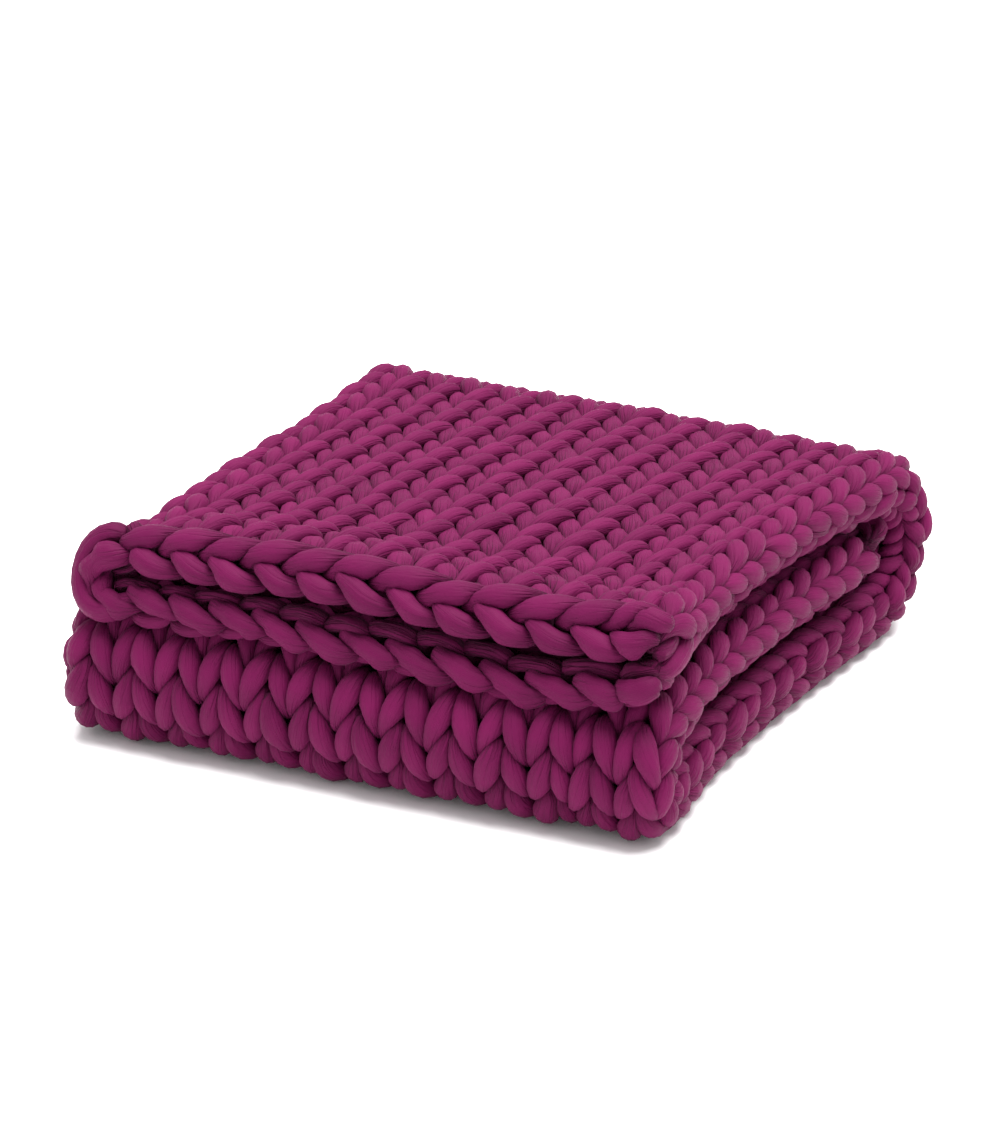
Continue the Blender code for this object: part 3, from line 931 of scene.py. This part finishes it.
@dataclass
class TubeSweller:
    """Swells tubes round their middle lines until they meet their neighbours.

    In a direction d from a point p the tube reaches r, the least of its free radius, of
    |q - p|^2 / 2 d.(q - p) over its neighbours' points q, which is half way to them or a little more
    or less, and of the way to the faces of its layer. The least is softened with a power mean.
    """

    skeleton: Skeleton
    nearest: int = 44  # how many neighbours' points count
    own_space: float = 3.5  # points nearer than this are the tube's own
    slack: float = 0.975  # the share of the way to a neighbour that it takes
    softness: float = 9.0  # the power of the mean: the higher, the sharper the creases
    least: float = 1.6  # radius where the tube is squeezed most
    ground: float = 0.2  # the lowest that anything lies
    chunk: int = 2500  # points worked out at a time

    def swell(self, line: Triple, wale: np.ndarray, course: np.ndarray, free: np.ndarray,
              might: np.ndarray, bounds: Bounds, detail: Detail) -> tuple[np.ndarray, ...]:
        """Build the rings of tubes.

        Args:
            line: the tubes' middle lines on the cloth: across, along and out, each as tube and ring.
            wale: number of the nearest wale to each ring.
            course: number of its course.
            free: free radius at each ring.
            might: how much more than its half of a gap each ring takes.
            bounds: the faces of the layer at each ring.
            detail: how many sides a ring has.

        Returns:
            Ring points as tube, ring, side and 3; the middle points; the radii; and the place
            along each tube.
        """
        pile = self.skeleton.pile
        across, along, out = line
        middle = pile.place(across, along, out)
        normal = pile.place(across, along, out + 1.0) - middle
        tangent = np.gradient(middle, axis=1)
        step = np.linalg.norm(np.diff(middle, axis=1), axis=-1)
        length = np.concatenate([np.zeros((len(middle), 1)), np.cumsum(step, axis=1)], axis=1)
        tangent /= np.linalg.norm(tangent, axis=-1, keepdims=True)
        normal /= np.linalg.norm(normal, axis=-1, keepdims=True)
        upright = normal - tangent * np.sum(normal * tangent, axis=-1, keepdims=True)
        upright /= np.linalg.norm(upright, axis=-1, keepdims=True)
        sideways = np.cross(tangent, upright)
        angle = 2.0 * math.pi * np.arange(detail.sides) / detail.sides
        spokes = upright[:, :, None] * np.cos(angle)[:, None]
        spokes = spokes + sideways[:, :, None] * np.sin(angle)[:, None]
        lift = np.sum(spokes * normal[:, :, None], axis=-1)
        reach = self.half_way(middle.reshape(-1, 3), spokes.reshape(-1, detail.sides, 3),
                              wale.ravel(), course.ravel(), might.ravel()).reshape(spokes.shape[:3])
        reach = reach * self.slack
        tiny = 1e-3
        inward = (out - bounds.below)[:, :, None] / np.maximum(-lift, tiny)
        outward = (bounds.above - out)[:, :, None] / np.maximum(lift, tiny)
        limits = np.stack([
            np.broadcast_to(free[:, :, None], reach.shape),
            reach,
            np.where(lift < 0, inward, FAR_AWAY),
            np.where(lift > 0, outward, FAR_AWAY),
        ])
        limits = np.maximum(limits, self.least)
        radius = np.sum(limits**-self.softness, axis=0) ** (-1.0 / self.softness)
        radius = (np.roll(radius, 1, axis=2) + 2.0 * radius + np.roll(radius, -1, axis=2)) / 4.0
        inner = (radius[:, :-2] + 2.0 * radius[:, 1:-1] + radius[:, 2:]) / 4.0
        radius = np.concatenate([radius[:, :1], inner, radius[:, -1:]], axis=1)
        rings = middle[:, :, None] + spokes * radius[..., None]
        rings[..., 2] = np.maximum(rings[..., 2], self.ground)
        return rings, middle, radius, length

    def half_way(self, points: np.ndarray, spokes: np.ndarray, wale: np.ndarray, course: np.ndarray,
                 might: np.ndarray) -> np.ndarray:
        """Find how far each point may swell along each spoke before it is half way to a neighbour.

        Args:
            points: the middle points.
            spokes: directions, for each point.
            wale: number of the wale of each point.
            course: number of its course.
            might: how much more than its half of a gap each point takes.

        Returns:
            A reach for each point and spoke.
        """
        reach = np.empty(spokes.shape[:2])
        for start in range(0, len(points), self.chunk):
            part = slice(start, start + self.chunk)
            others, their_might = self.skeleton.round_about(wale[part], course[part])
            gap = others - points[part, None]
            square = np.sum(gap * gap, axis=-1)
            square[square < self.own_space**2] = FAR_AWAY**2
            chosen = np.argpartition(square, self.nearest, axis=1)[:, :self.nearest]
            square = np.take_along_axis(square, chosen, axis=1)
            gap = np.take_along_axis(gap, chosen[..., None], axis=1)
            own_part = 0.5 + (might[part, None] - np.take_along_axis(their_might, chosen, axis=1)) / 2
            toward = np.einsum("pkc,pqc->pkq", spokes[part], gap)
            share = (square * own_part)[:, None] / np.maximum(toward, 1e-6)
            reach[part] = share.min(axis=2)
        return reach


@dataclass(frozen=True)
class BerryJersey:
    """The finish: a soft, matt, piece-dyed jersey tube with creases drawn in where it is squeezed, as
    bump and as painted shade.
    """

    light: tuple[float, float, float] = (0.115, 0.0045, 0.0485)
    deep: tuple[float, float, float] = (0.079, 0.0024, 0.0335)
    # painted shade: a near-black that darkens the gaps between tubes and the creases, where shade falls
    painted_shade: tuple[float, float, float] = (0.017, 0.0004, 0.0072)
    roughness: float = 0.62
    shine: float = 0.07
    sheen: float = 0.022
    sheen_roughness: float = 0.45
    sheen_tint: tuple[float, float, float] = (1.0, 0.62, 0.82)
    # each of the next four is a noise: its scale, for each metre of the tube, and its detail
    folds: tuple[float, float] = (110.0, 2.0)
    creases: tuple[float, float] = (175.0, 1.5)
    fuzz: tuple[float, float] = (1400.0, 2.0)
    drift: tuple[float, float] = (22.0, 1.0)
    drawn_out: float = 0.13  # the scale of folds and creases along the tube, as a share
    crease_edge: float = 14.0  # the higher, the narrower the creases
    fine_wales: float = 72.0  # columns of the jersey's own fine knitting round the tube
    # what the drift and the stitch's own shade add to the colour's place from deep to light, and
    # where it starts
    mixing: tuple[float, float, float] = (0.9, 0.35, -0.05)
    # painted shade: how far a squeezed place takes the dark colour, all over and more in the creases
    squeezed: tuple[float, float] = (0.5, 0.5)
    # height of folds and creases: all over, and more where squeezed
    relief: tuple[float, float] = (0.12, 0.88)
    crease_height: float = 0.55
    fold_height: float = 1.6
    fuzz_height: float = 0.10
    wale_height: float = 0.018
    bump: tuple[float, float] = (0.85, 0.0035)  # strength, and distance in metres

    def material(self) -> bpy.types.Material:
        """Build the material from the tube's own attributes.

        Creases are noise drawn out eight times along the tube, fine wales are a sine round it, and both
        are bump. The colour goes from deep to light by noise and each stitch's tone, and towards a
        painted shade where the tube is squeezed and along the creases.

        Returns:
            The material.
        """
        material = bpy.data.materials.new(SLOT)
        material.use_nodes = True
        tree = material.node_tree
        nodes, links = tree.nodes, tree.links
        shader = nodes["Principled BSDF"]
        shader.inputs["Roughness"].default_value = self.roughness
        shader.inputs["Specular IOR Level"].default_value = self.shine
        shader.inputs["Sheen Weight"].default_value = self.sheen
        shader.inputs["Sheen Roughness"].default_value = self.sheen_roughness
        shader.inputs["Sheen Tint"].default_value = (*self.sheen_tint, 1.0)

        def node(kind: str, **settings: object) -> bpy.types.Node:
            """Add a node and set its properties.

            Args:
                kind: the node's type.
                **settings: properties and their values.

            Returns:
                The node.
            """
            made = nodes.new(kind)
            for key, value in settings.items():
                setattr(made, key, value)
            return made

        def sums(operation: str, first: object, second: object = 0.0) -> bpy.types.NodeSocket:
            """Add a Math node.

            Args:
                operation: what it works out.
                first: a socket or a number.
                second: the same.

            Returns:
                Its output.
            """
            made = node("ShaderNodeMath", operation=operation)
            for socket, value in zip(made.inputs, (first, second)):
                if isinstance(value, bpy.types.NodeSocket):
                    links.new(value, socket)
                else:
                    socket.default_value = value
            return made.outputs[0]

        def noise(vector: bpy.types.NodeSocket, look: tuple[float, float]) -> bpy.types.NodeSocket:
            """Add a Noise Texture.

            Args:
                vector: where it is read.
                look: its scale and its detail.

            Returns:
                Its output.
            """
            made = node("ShaderNodeTexNoise")
            made.inputs["Scale"].default_value, made.inputs["Detail"].default_value = look
            links.new(vector, made.inputs["Vector"])
            return made.outputs["Fac"]

        def mix(factor: bpy.types.NodeSocket, first: object, second: object) -> bpy.types.NodeSocket:
            """Add a Mix node for colours.

            Args:
                factor: from 0 for the first colour to 1 for the second.
                first: a socket or a colour.
                second: the same.

            Returns:
                Its output.
            """
            made = node("ShaderNodeMix", data_type="RGBA")
            links.new(factor, made.inputs[0])
            for socket, value in zip(made.inputs[6:8], (first, second)):
                if isinstance(value, bpy.types.NodeSocket):
                    links.new(value, socket)
                else:
                    socket.default_value = (*value, 1.0)
            return made.outputs[2]

        yarn = node("ShaderNodeAttribute", attribute_name="yarn").outputs["Vector"]
        pinch = node("ShaderNodeAttribute", attribute_name="pinch").outputs["Fac"]
        tone = node("ShaderNodeAttribute", attribute_name="tone").outputs["Fac"]
        stretch = node("ShaderNodeMapping")
        stretch.inputs["Scale"].default_value = (1.0, 1.0, self.drawn_out)
        links.new(yarn, stretch.inputs["Vector"])
        folds = noise(stretch.outputs[0], self.folds)
        valley = sums("ABSOLUTE", sums("SUBTRACT", noise(stretch.outputs[0], self.creases), 0.5))
        creases = sums("MINIMUM", sums("MULTIPLY", valley, self.crease_edge), 1.0)
        fuzz = noise(yarn, self.fuzz)
        drift = noise(yarn, self.drift)

        split = node("ShaderNodeSeparateXYZ")
        links.new(yarn, split.inputs[0])
        turn = sums("ARCTAN2", split.outputs[1], split.outputs[0])
        wales = sums("SINE", sums("MULTIPLY", turn, self.fine_wales))

        from_drift, from_tone, start = self.mixing
        amount = sums("ADD", sums("MULTIPLY", drift, from_drift), sums("MULTIPLY", tone, from_tone))
        colour = mix(sums("ADD", amount, start), self.deep, self.light)
        # painted shade: the colour goes towards near-black where the tube is squeezed, and more along
        # the creases, for the shade in the gaps
        lines = sums("SUBTRACT", 1.0, creases)
        held = sums("ADD", self.squeezed[0], sums("MULTIPLY", lines, self.squeezed[1]))
        colour = mix(sums("MULTIPLY", pinch, held), colour, self.painted_shade)
        links.new(colour, shader.inputs["Base Color"])

        strength = sums("ADD", self.relief[0], sums("MULTIPLY", pinch, self.relief[1]))
        cut = sums("MULTIPLY", creases, self.crease_height)
        drawn = sums("MULTIPLY", sums("ADD", cut, sums("MULTIPLY", folds, self.fold_height)), strength)
        hairs = sums("MULTIPLY", fuzz, self.fuzz_height)
        fine = sums("ADD", hairs, sums("MULTIPLY", wales, self.wale_height))
        bump = node("ShaderNodeBump")
        bump.inputs["Strength"].default_value, bump.inputs["Distance"].default_value = self.bump
        links.new(sums("ADD", drawn, fine), bump.inputs["Height"])
        links.new(bump.outputs[0], shader.inputs["Normal"])
        return material


@dataclass
class Knitting:
    """All that a panel needs to be built: the pile, the stitches, their skeleton and the finish."""

    pile: FoldedPile = field(default_factory=FoldedPile)
    finish: BerryJersey = field(default_factory=BerryJersey)
    free: float = 40.0  # how far out a tube may swell where nothing holds it
    shut: float = 15.2  # and where the next double or the floor does
    # how far before the floor run that sets in for the upper half and past it ends, and how far
    # before the middle run it sets in again
    shut_past: tuple[float, float, float] = (20.0, 10.0, 10.0)
    lining: float = -15.7  # how far in, to the other half
    parted: float = 8.0  # how much further in the lower half may where the free edge stands open
    # between which distances from the side fold that sets in, and between which from the free edge it
    # ends
    parted_from: tuple[float, float, float, float] = (80.0, 250.0, 50.0, 100.0)
    edge_free: float = 95.0  # how far from the free edge the lower half's outer face is free
    chain_span: tuple[float, float] = (-19.0, 24.0)  # how far in and out a chain's strands may swell
    hold: tuple[float, float] = (2.0, 0.2)  # how quickly a squeeze counts, and how much is let pass
    # what a squeeze and a place where the tube is drawn in add to the pinch, which sets the painted
    # shade
    pinch_parts: tuple[float, float] = (0.45, 0.75)
    slim: float = 0.9  # a squeeze counts from this share of the plain tube's radius, at most
    # how soon the tube counts as drawn in, away from heads and sinkers and towards a chain's ends
    drawn_powers: tuple[float, float] = (0.7, 1.6)
    turn_drawn: float = 0.5  # how far it counts as drawn in at a selvedge's turns
    # a stitch's shade is a sine of its number: the steps for each wale, course and turn
    shade_steps: tuple[float, float, float] = (2.7, 4.3, 1.9)
    # the chain's level is low, painted shade that darkens the chain edges; its height and step vary its
    # tone
    chain_shade: tuple[float, float, float] = (-0.5, 0.35, 3.1)  # the chain's: level, height and step
    # how far apart along the yarn two courses, chain stitches, strands of one, and turns start
    apart: tuple[float, float, float, float] = (731.0, 411.0, 97.0, 53.0)

    def __post_init__(self) -> None:
        """Build the shared parts in order."""
        self.ladder = CourseLadder(self.pile)
        self.stitch = PlainStitch(self.pile, self.ladder)
        self.chain = ChainStitch(self.pile, self.ladder)
        self.turn = SelvedgeTurn(self.pile, self.stitch)
        self.skeleton = Skeleton(self.pile, self.ladder, self.stitch, self.chain, self.turn)
        self.sweller = TubeSweller(self.skeleton)
        self.material = self.finish.material()

    def faces_of_layer(self, across: np.ndarray, along: np.ndarray) -> Bounds:
        """Say how far tubes may swell: into the gap to the other half, and out to the next double.

        The upper half is shut in on the floor run and the middle run, and the lower half on the top
        run, but for its edge, and from the floor run on. The rest is free.

        Args:
            across: where the rings are, across the cloth.
            along: where they are along it.

        Returns:
            The bounds.
        """
        pile = self.pile
        top_end = pile.run_span("top")[1]
        floor_start, floor_end = pile.run_span("floor")
        middle_start = pile.run_span("middle")[0]
        before_floor, past_floor, before_middle = self.shut_past
        on_floor = (along > floor_start - before_floor) & (along < floor_end + past_floor)
        upper_shut = on_floor | (along > middle_start - before_middle)
        lower_shut = (along > self.edge_free) & (along < top_end) | (along > floor_start)
        above = np.where(np.where(across > 0, upper_shut, lower_shut), self.shut, self.free)
        first, whole, fading, gone = self.parted_from
        parted = smooth_step(-across, first, whole) * (1.0 - smooth_step(along, fading, gone))
        return Bounds(self.lining - self.parted * parted, above)

    def pinch(self, radius: np.ndarray, free: np.ndarray, drawn: np.ndarray) -> np.ndarray:
        """Find how far each point is held in: at its spoke, and where the tube is drawn in.

        Args:
            radius: the swelled radii, as tube, ring and side.
            free: the free radius, as tube and ring.
            drawn: from 0 to 1, how far the tube is drawn in, as tube and ring.

        Returns:
            The pinch, from 0 to 1, as tube, ring and side.
        """
        # the finish darkens pinched places with painted shade, and deepens their bump
        quick, passed = self.hold
        held = np.clip((1.0 - radius / free[:, :, None]) * quick - passed, 0.0, 1.0)
        from_held, from_drawn = self.pinch_parts
        return np.clip(from_held * held + from_drawn * drawn[:, :, None], 0.0, 1.0)

    def yarn_places(self, sides: int, length: np.ndarray, offset: np.ndarray) -> np.ndarray:
        """Find each point's place on the straight tube: cosine and sine of its angle, and length.

        Args:
            sides: how many points a ring has.
            length: place along each tube, for each ring.
            offset: how far along the yarn each tube starts, so that no two are alike.

        Returns:
            Places as tube, ring, side and 3.
        """
        angle = 2.0 * math.pi * np.arange(sides) / sides
        shape = (*length.shape, sides)
        ring = [np.broadcast_to(self.stitch.radius * wave(angle), shape) for wave in (np.cos, np.sin)]
        run = np.broadcast_to((length + offset)[:, :, None], shape)
        return np.stack([*ring, run], axis=-1)

    def add_courses(self, tubes: TubeMesh, wales: tuple[int, int], courses: tuple[int, int],
                    fineness: Fineness) -> None:
        """Add a patch of knitting: a stretch of several courses.

        Args:
            tubes: the mesh it goes to.
            wales: first and last wale.
            courses: first and last course.
            fineness: its grade of detail.
        """
        first, last = wales
        detail = fineness.value
        count = (last - first + 1) * detail.rings
        place = np.linspace(first - 0.5, last + 0.5, count + 1)[None, :]
        course = np.arange(courses[0], courses[1] + 1)[:, None]
        place, course = np.broadcast_arrays(place, course)
        line = self.stitch.middle(place, course)
        free = self.stitch.girth(place, course)
        wale = np.clip(np.rint(place), first, last).astype(int)
        bounds = self.faces_of_layer(line[0], line[1])
        bounds.above = np.minimum(bounds.above, self.stitch.ceiling(place, course))
        might = self.stitch.might(place, course)
        rings, middle, radius, length = self.sweller.swell(
            line, wale, course, free, might, bounds, detail)
        yarn = self.yarn_places(detail.sides, length, course * self.apart[0])
        by_wale, by_course, _ = self.shade_steps
        tone = 0.5 + 0.5 * np.sin(by_wale * wale + by_course * course)
        drawn = (0.5 + 0.5 * np.cos(4.0 * math.pi * place)) ** self.drawn_powers[0]
        slim = np.minimum(free, self.slim * self.stitch.radius)
        tubes.add(rings, middle[:, [0, -1]], yarn, self.pinch(radius, slim, drawn), tone)

    def add_chain(self, tubes: TubeMesh, wales: tuple[int, int], far_end: bool,
                  fineness: Fineness) -> None:
        """Add the chain stitches along one knitted end.

        Args:
            tubes: the mesh it goes to.
            wales: first and last wale.
            far_end: whether it is the inner end and not the free one.
            fineness: its grade of detail.
        """
        detail = fineness.value
        q = np.linspace(-1.0, 1.0, detail.rings)[None, :]
        every = np.arange(wales[0], wales[1] + 1)
        row = self.ladder.courses if far_end else -1
        for side in ChainSide:
            number = every[self.chain.worked(every, side), None]
            line = np.broadcast_arrays(*self.chain.middle(number, q, side, far_end))
            free = np.broadcast_to(self.chain.girth(number, q, side), line[0].shape)
            wale, course = np.broadcast_arrays(number, np.full_like(q, row, dtype=int))
            bounds = Bounds(*(np.full(line[0].shape, limit) for limit in self.chain_span))
            might = self.chain.might(number, q, side)
            rings, middle, radius, length = self.sweller.swell(
                line, wale, course, free, might, bounds, detail)
            _, by_stitch, by_strand, _ = self.apart
            yarn = self.yarn_places(detail.sides, length, number * by_stitch + side.value * by_strand)
            # painted shade: the chain's tone starts low, darkening it
            level, height, step = self.chain_shade
            tone = np.broadcast_to(level + height * np.sin(step * number + side.value), length.shape)
            drawn = np.broadcast_to(np.abs(q) ** self.drawn_powers[1], length.shape)
            tubes.add(rings, middle[:, [0, -1]], yarn, self.pinch(radius, free, drawn), tone)

    def add_turns(self, tubes: TubeMesh, side: int, fineness: Fineness) -> None:
        """Add the tube's turns along one selvedge.

        Args:
            tubes: the mesh they go to.
            side: 1 for the upper half's selvedge, -1 for the lower half's.
            fineness: their grade of detail.
        """
        detail = fineness.value
        joined = [row for row in range(self.ladder.courses - 1) if self.turn.joined(side, row)]
        course = np.array(joined)[:, None]
        q = np.linspace(0.0, 1.0, detail.rings)[None, :]
        line = np.broadcast_arrays(*self.turn.middle(side, course, q))
        free = np.full(line[0].shape, self.turn.radius)
        wale = np.full(line[0].shape, side * (self.pile.side_wales + 1))
        bounds = Bounds(np.full(line[0].shape, self.lining), np.full(line[0].shape, self.free))
        might = np.zeros(free.shape)
        rings, middle, radius, length = self.sweller.swell(
            line, wale, np.broadcast_to(course, wale.shape), free, might, bounds, detail)
        yarn = self.yarn_places(detail.sides, length, course * self.apart[3])
        tone = np.broadcast_to(0.5 + 0.5 * np.sin(self.shade_steps[2] * course), length.shape)
        pinch = self.pinch(radius, free, np.full(length.shape, self.turn_drawn))
        tubes.add(rings, middle[:, [0, -1]], yarn, pinch, tone)

    def dress(self, tubes: TubeMesh, name: str) -> bpy.types.Object:
        """Args:
            tubes: the piece's tubes.
            name: the piece's name.

        Returns:
            The piece.
        """
        piece = tubes.build(name)
        piece.data.materials.append(self.material)
        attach(piece, "root")
        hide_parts(NODE)
        return piece


@dataclass
class Patch:
    """A rectangle of the knitting: first and last wale, first and last course, and its detail."""

    wales: tuple[int, int]
    courses: tuple[int, int]
    fineness: Fineness


@dataclass
class KnitPanel:
    """A part of the cloth between two folds or edges."""

    name: str
    patches: list[Patch]
    fill: float = 0.8

    def build(self, knitting: Knitting) -> bpy.types.Object:
        """Build its patches as one piece.

        Args:
            knitting: what it is built with.

        Returns:
            The piece.
        """
        tubes = TubeMesh()
        for patch in self.patches:
            knitting.add_courses(tubes, patch.wales, patch.courses, patch.fineness)
        return knitting.dress(tubes, self.name)


@dataclass
class ChainEdges:
    """The chain stitches that finish the free edge and the tucked-in end."""

    name: str = "chain_edges"

    def build(self, knitting: Knitting) -> bpy.types.Object:
        """Build both ends' chains as one piece.

        Args:
            knitting: what it is built with.

        Returns:
            The piece.
        """
        tubes = TubeMesh()
        last = knitting.pile.side_wales
        knitting.add_chain(tubes, (-last, last), False, Fineness.GOOD)
        knitting.add_chain(tubes, (-last, last), True, Fineness.INNER)
        return knitting.dress(tubes, self.name)


@dataclass
class Selvedges:
    """The turns of the tube from course to course along both selvedges."""

    name: str = "selvedge_turns"

    def build(self, knitting: Knitting) -> bpy.types.Object:
        """Build both selvedges' turns as one piece.

        Args:
            knitting: what it is built with.

        Returns:
            The piece.
        """
        tubes = TubeMesh()
        for side in (1, -1):
            knitting.add_turns(tubes, side, Fineness.INNER)
        return knitting.dress(tubes, self.name)


@dataclass
class Blanket:
    """The whole blanket: its panels in order along the cloth, its chain edges and its selvedges."""

    knitting: Knitting = field(default_factory=Knitting)
    shown_from: int = 11  # the wales from here to the selvedge show at the side, in every layer
    edge_courses: int = 3  # the lower half's courses that show at the free edge
    back_fold_past: float = 10.0  # how far into the floor run the back fold's panel goes
    front_fold_past: tuple[float, float] = (25.0, 40.0)  # how far out of its fold the front one goes

    def panels(self) -> list[KnitPanel]:
        """Divide the cloth into panels at its folds.

        Returns:
            The panels.
        """
        ladder, pile = self.knitting.ladder, self.knitting.pile
        last = pile.side_wales
        back = ladder.course_at(pile.run_span("back fold")[0])
        floor = ladder.course_at(pile.run_span("floor")[0] + self.back_fold_past)
        fold_start, fold_end = pile.run_span("front fold")
        front = ladder.course_at(fold_start - self.front_fold_past[0])
        middle = ladder.course_at(fold_end + self.front_fold_past[1])
        end = ladder.courses - 1
        half = back // 2
        whole = (0, last)
        shown = self.shown_from
        edge = self.edge_courses
        return [
            KnitPanel("top_panel_front", [Patch(whole, (0, half), Fineness.FINE)]),
            KnitPanel("top_panel_back", [Patch(whole, (half + 1, back), Fineness.FINE)]),
            KnitPanel("back_fold", [Patch(whole, (back + 1, floor), Fineness.GOOD)]),
            KnitPanel("floor_panel", [Patch(whole, (floor + 1, front), Fineness.PLAIN)]),
            KnitPanel("front_fold", [Patch(whole, (front + 1, middle), Fineness.FINE)]),
            KnitPanel("tucked_panel", [
                Patch((0, 1), (middle + 1, end), Fineness.GOOD),
                Patch((2, shown - 1), (middle + 1, end), Fineness.INNER),
                Patch((shown, last), (middle + 1, end), Fineness.GOOD),
            ]),
            KnitPanel("lining_half_edge", [Patch((-last, -1), (0, edge - 1), Fineness.GOOD)]),
            KnitPanel("lining_half_side", [Patch((-1, -1), (edge, end), Fineness.GOOD)]),
            KnitPanel("lining_half_inside", [Patch((1 - shown, -2), (edge, end), Fineness.INNER)]),
            KnitPanel("lining_half_selvedge", [Patch((-last, -shown), (edge, end), Fineness.GOOD)]),
        ]

    def build(self) -> list[bpy.types.Object]:
        """Build every piece and report it.

        Returns:
            The pieces, in order.
        """
        made = []
        for part in [*self.panels(), ChainEdges(), Selvedges()]:
            piece = part.build(self.knitting)
            log.info("%s: %d faces", piece.name, len(piece.data.polygons))
            made.append(piece)
        return made


@dataclass
class Studio:
    """The camera, the pale floor and the soft light."""

    camera_at: tuple[float, float, float] = (1.2319, -2.6318, 1.2488)
    azimuth: float = 25.33  # degrees round from the front
    elevation: float = 21.63  # degrees down to the pile
    lens: float = 111.87
    sensor: float = 36.0
    floor_size: float = 30.0
    floor_colour: tuple[float, float, float] = (0.93, 0.93, 0.93)
    sky: float = 1.04  # strength of the even light from all round
    key: float = 8.1  # strength of the light from overhead
    key_spread: float = 50.0  # degrees
    key_tilt: tuple[float, float] = (9.0, 120.0)  # degrees down from overhead, and round

    def set_camera(self) -> bpy.types.Object:
        """Place the camera, level and without shift.

        Returns:
            The camera.
        """
        data = bpy.data.cameras.new("camera")
        data.lens = self.lens
        data.sensor_width = self.sensor
        data.clip_start, data.clip_end = 0.05, 100.0
        camera = bpy.data.objects.new("camera", data)
        bpy.context.scene.collection.objects.link(camera)
        turn, dip = math.radians(self.azimuth), math.radians(self.elevation)
        level = math.cos(dip)
        ahead = Vector((-math.sin(turn) * level, math.cos(turn) * level, -math.sin(dip)))
        camera.location = self.camera_at
        camera.rotation_mode = "QUATERNION"
        camera.rotation_quaternion = ahead.to_track_quat("-Z", "Y")
        bpy.context.scene.camera = camera
        return camera

    def lay_floor(self) -> bpy.types.Object:
        """Lay a wide square floor with its top at height 0.

        Returns:
            The floor.
        """
        half = self.floor_size / 2
        mesh = bpy.data.meshes.new("floor")
        corners = [(-half, -half, 0.0), (half, -half, 0.0), (half, half, 0.0), (-half, half, 0.0)]
        mesh.from_pydata(corners, [], [(0, 1, 2, 3)])
        material = bpy.data.materials.new("floor_white")
        material.use_nodes = True
        shader = material.node_tree.nodes["Principled BSDF"]
        shader.inputs["Base Color"].default_value = (*self.floor_colour, 1.0)
        shader.inputs["Roughness"].default_value = 0.9
        shader.inputs["Specular IOR Level"].default_value = 0.0
        mesh.materials.append(material)
        floor = bpy.data.objects.new("floor", mesh)
        bpy.context.scene.collection.objects.link(floor)
        return floor

    def hang_light(self, name: str, strength: float, spread: float,
                   tilt: tuple[float, float]) -> None:
        """Add a soft distant light.

        Args:
            name: its name.
            strength: its strength.
            spread: how wide it looks, in degrees.
            tilt: degrees down from overhead, and round from the front.
        """
        data = bpy.data.lights.new(name, "SUN")
        data.energy = strength
        data.angle = math.radians(spread)
        light = bpy.data.objects.new(name, data)
        down, turn = math.radians(tilt[0]), math.radians(tilt[1])
        light.rotation_euler = Vector(
            (math.sin(down) * math.sin(turn), -math.sin(down) * math.cos(turn), math.cos(down))
        ).to_track_quat("Z", "Y").to_euler()
        bpy.context.scene.collection.objects.link(light)

    def build(self) -> None:
        """Set up the camera, the floor, the sky and the lights."""
        self.set_camera()
        self.lay_floor()
        world = bpy.data.worlds.new("studio")
        world.use_nodes = True
        background = world.node_tree.nodes["Background"]
        background.inputs["Color"].default_value = (1.0, 1.0, 1.0, 1.0)
        background.inputs["Strength"].default_value = self.sky
        bpy.context.scene.world = world
        self.hang_light("key_light", self.key, self.key_spread, self.key_tilt)
        bpy.context.scene.view_settings.view_transform = "Standard"
        log.info("studio: camera, floor and light")


def main() -> None:
    """Build the studio and the blanket."""
    logging.basicConfig(level=logging.INFO, format="%(message)s")
    Studio().build()
    Blanket().build()


if __name__ == "__main__":
    main()
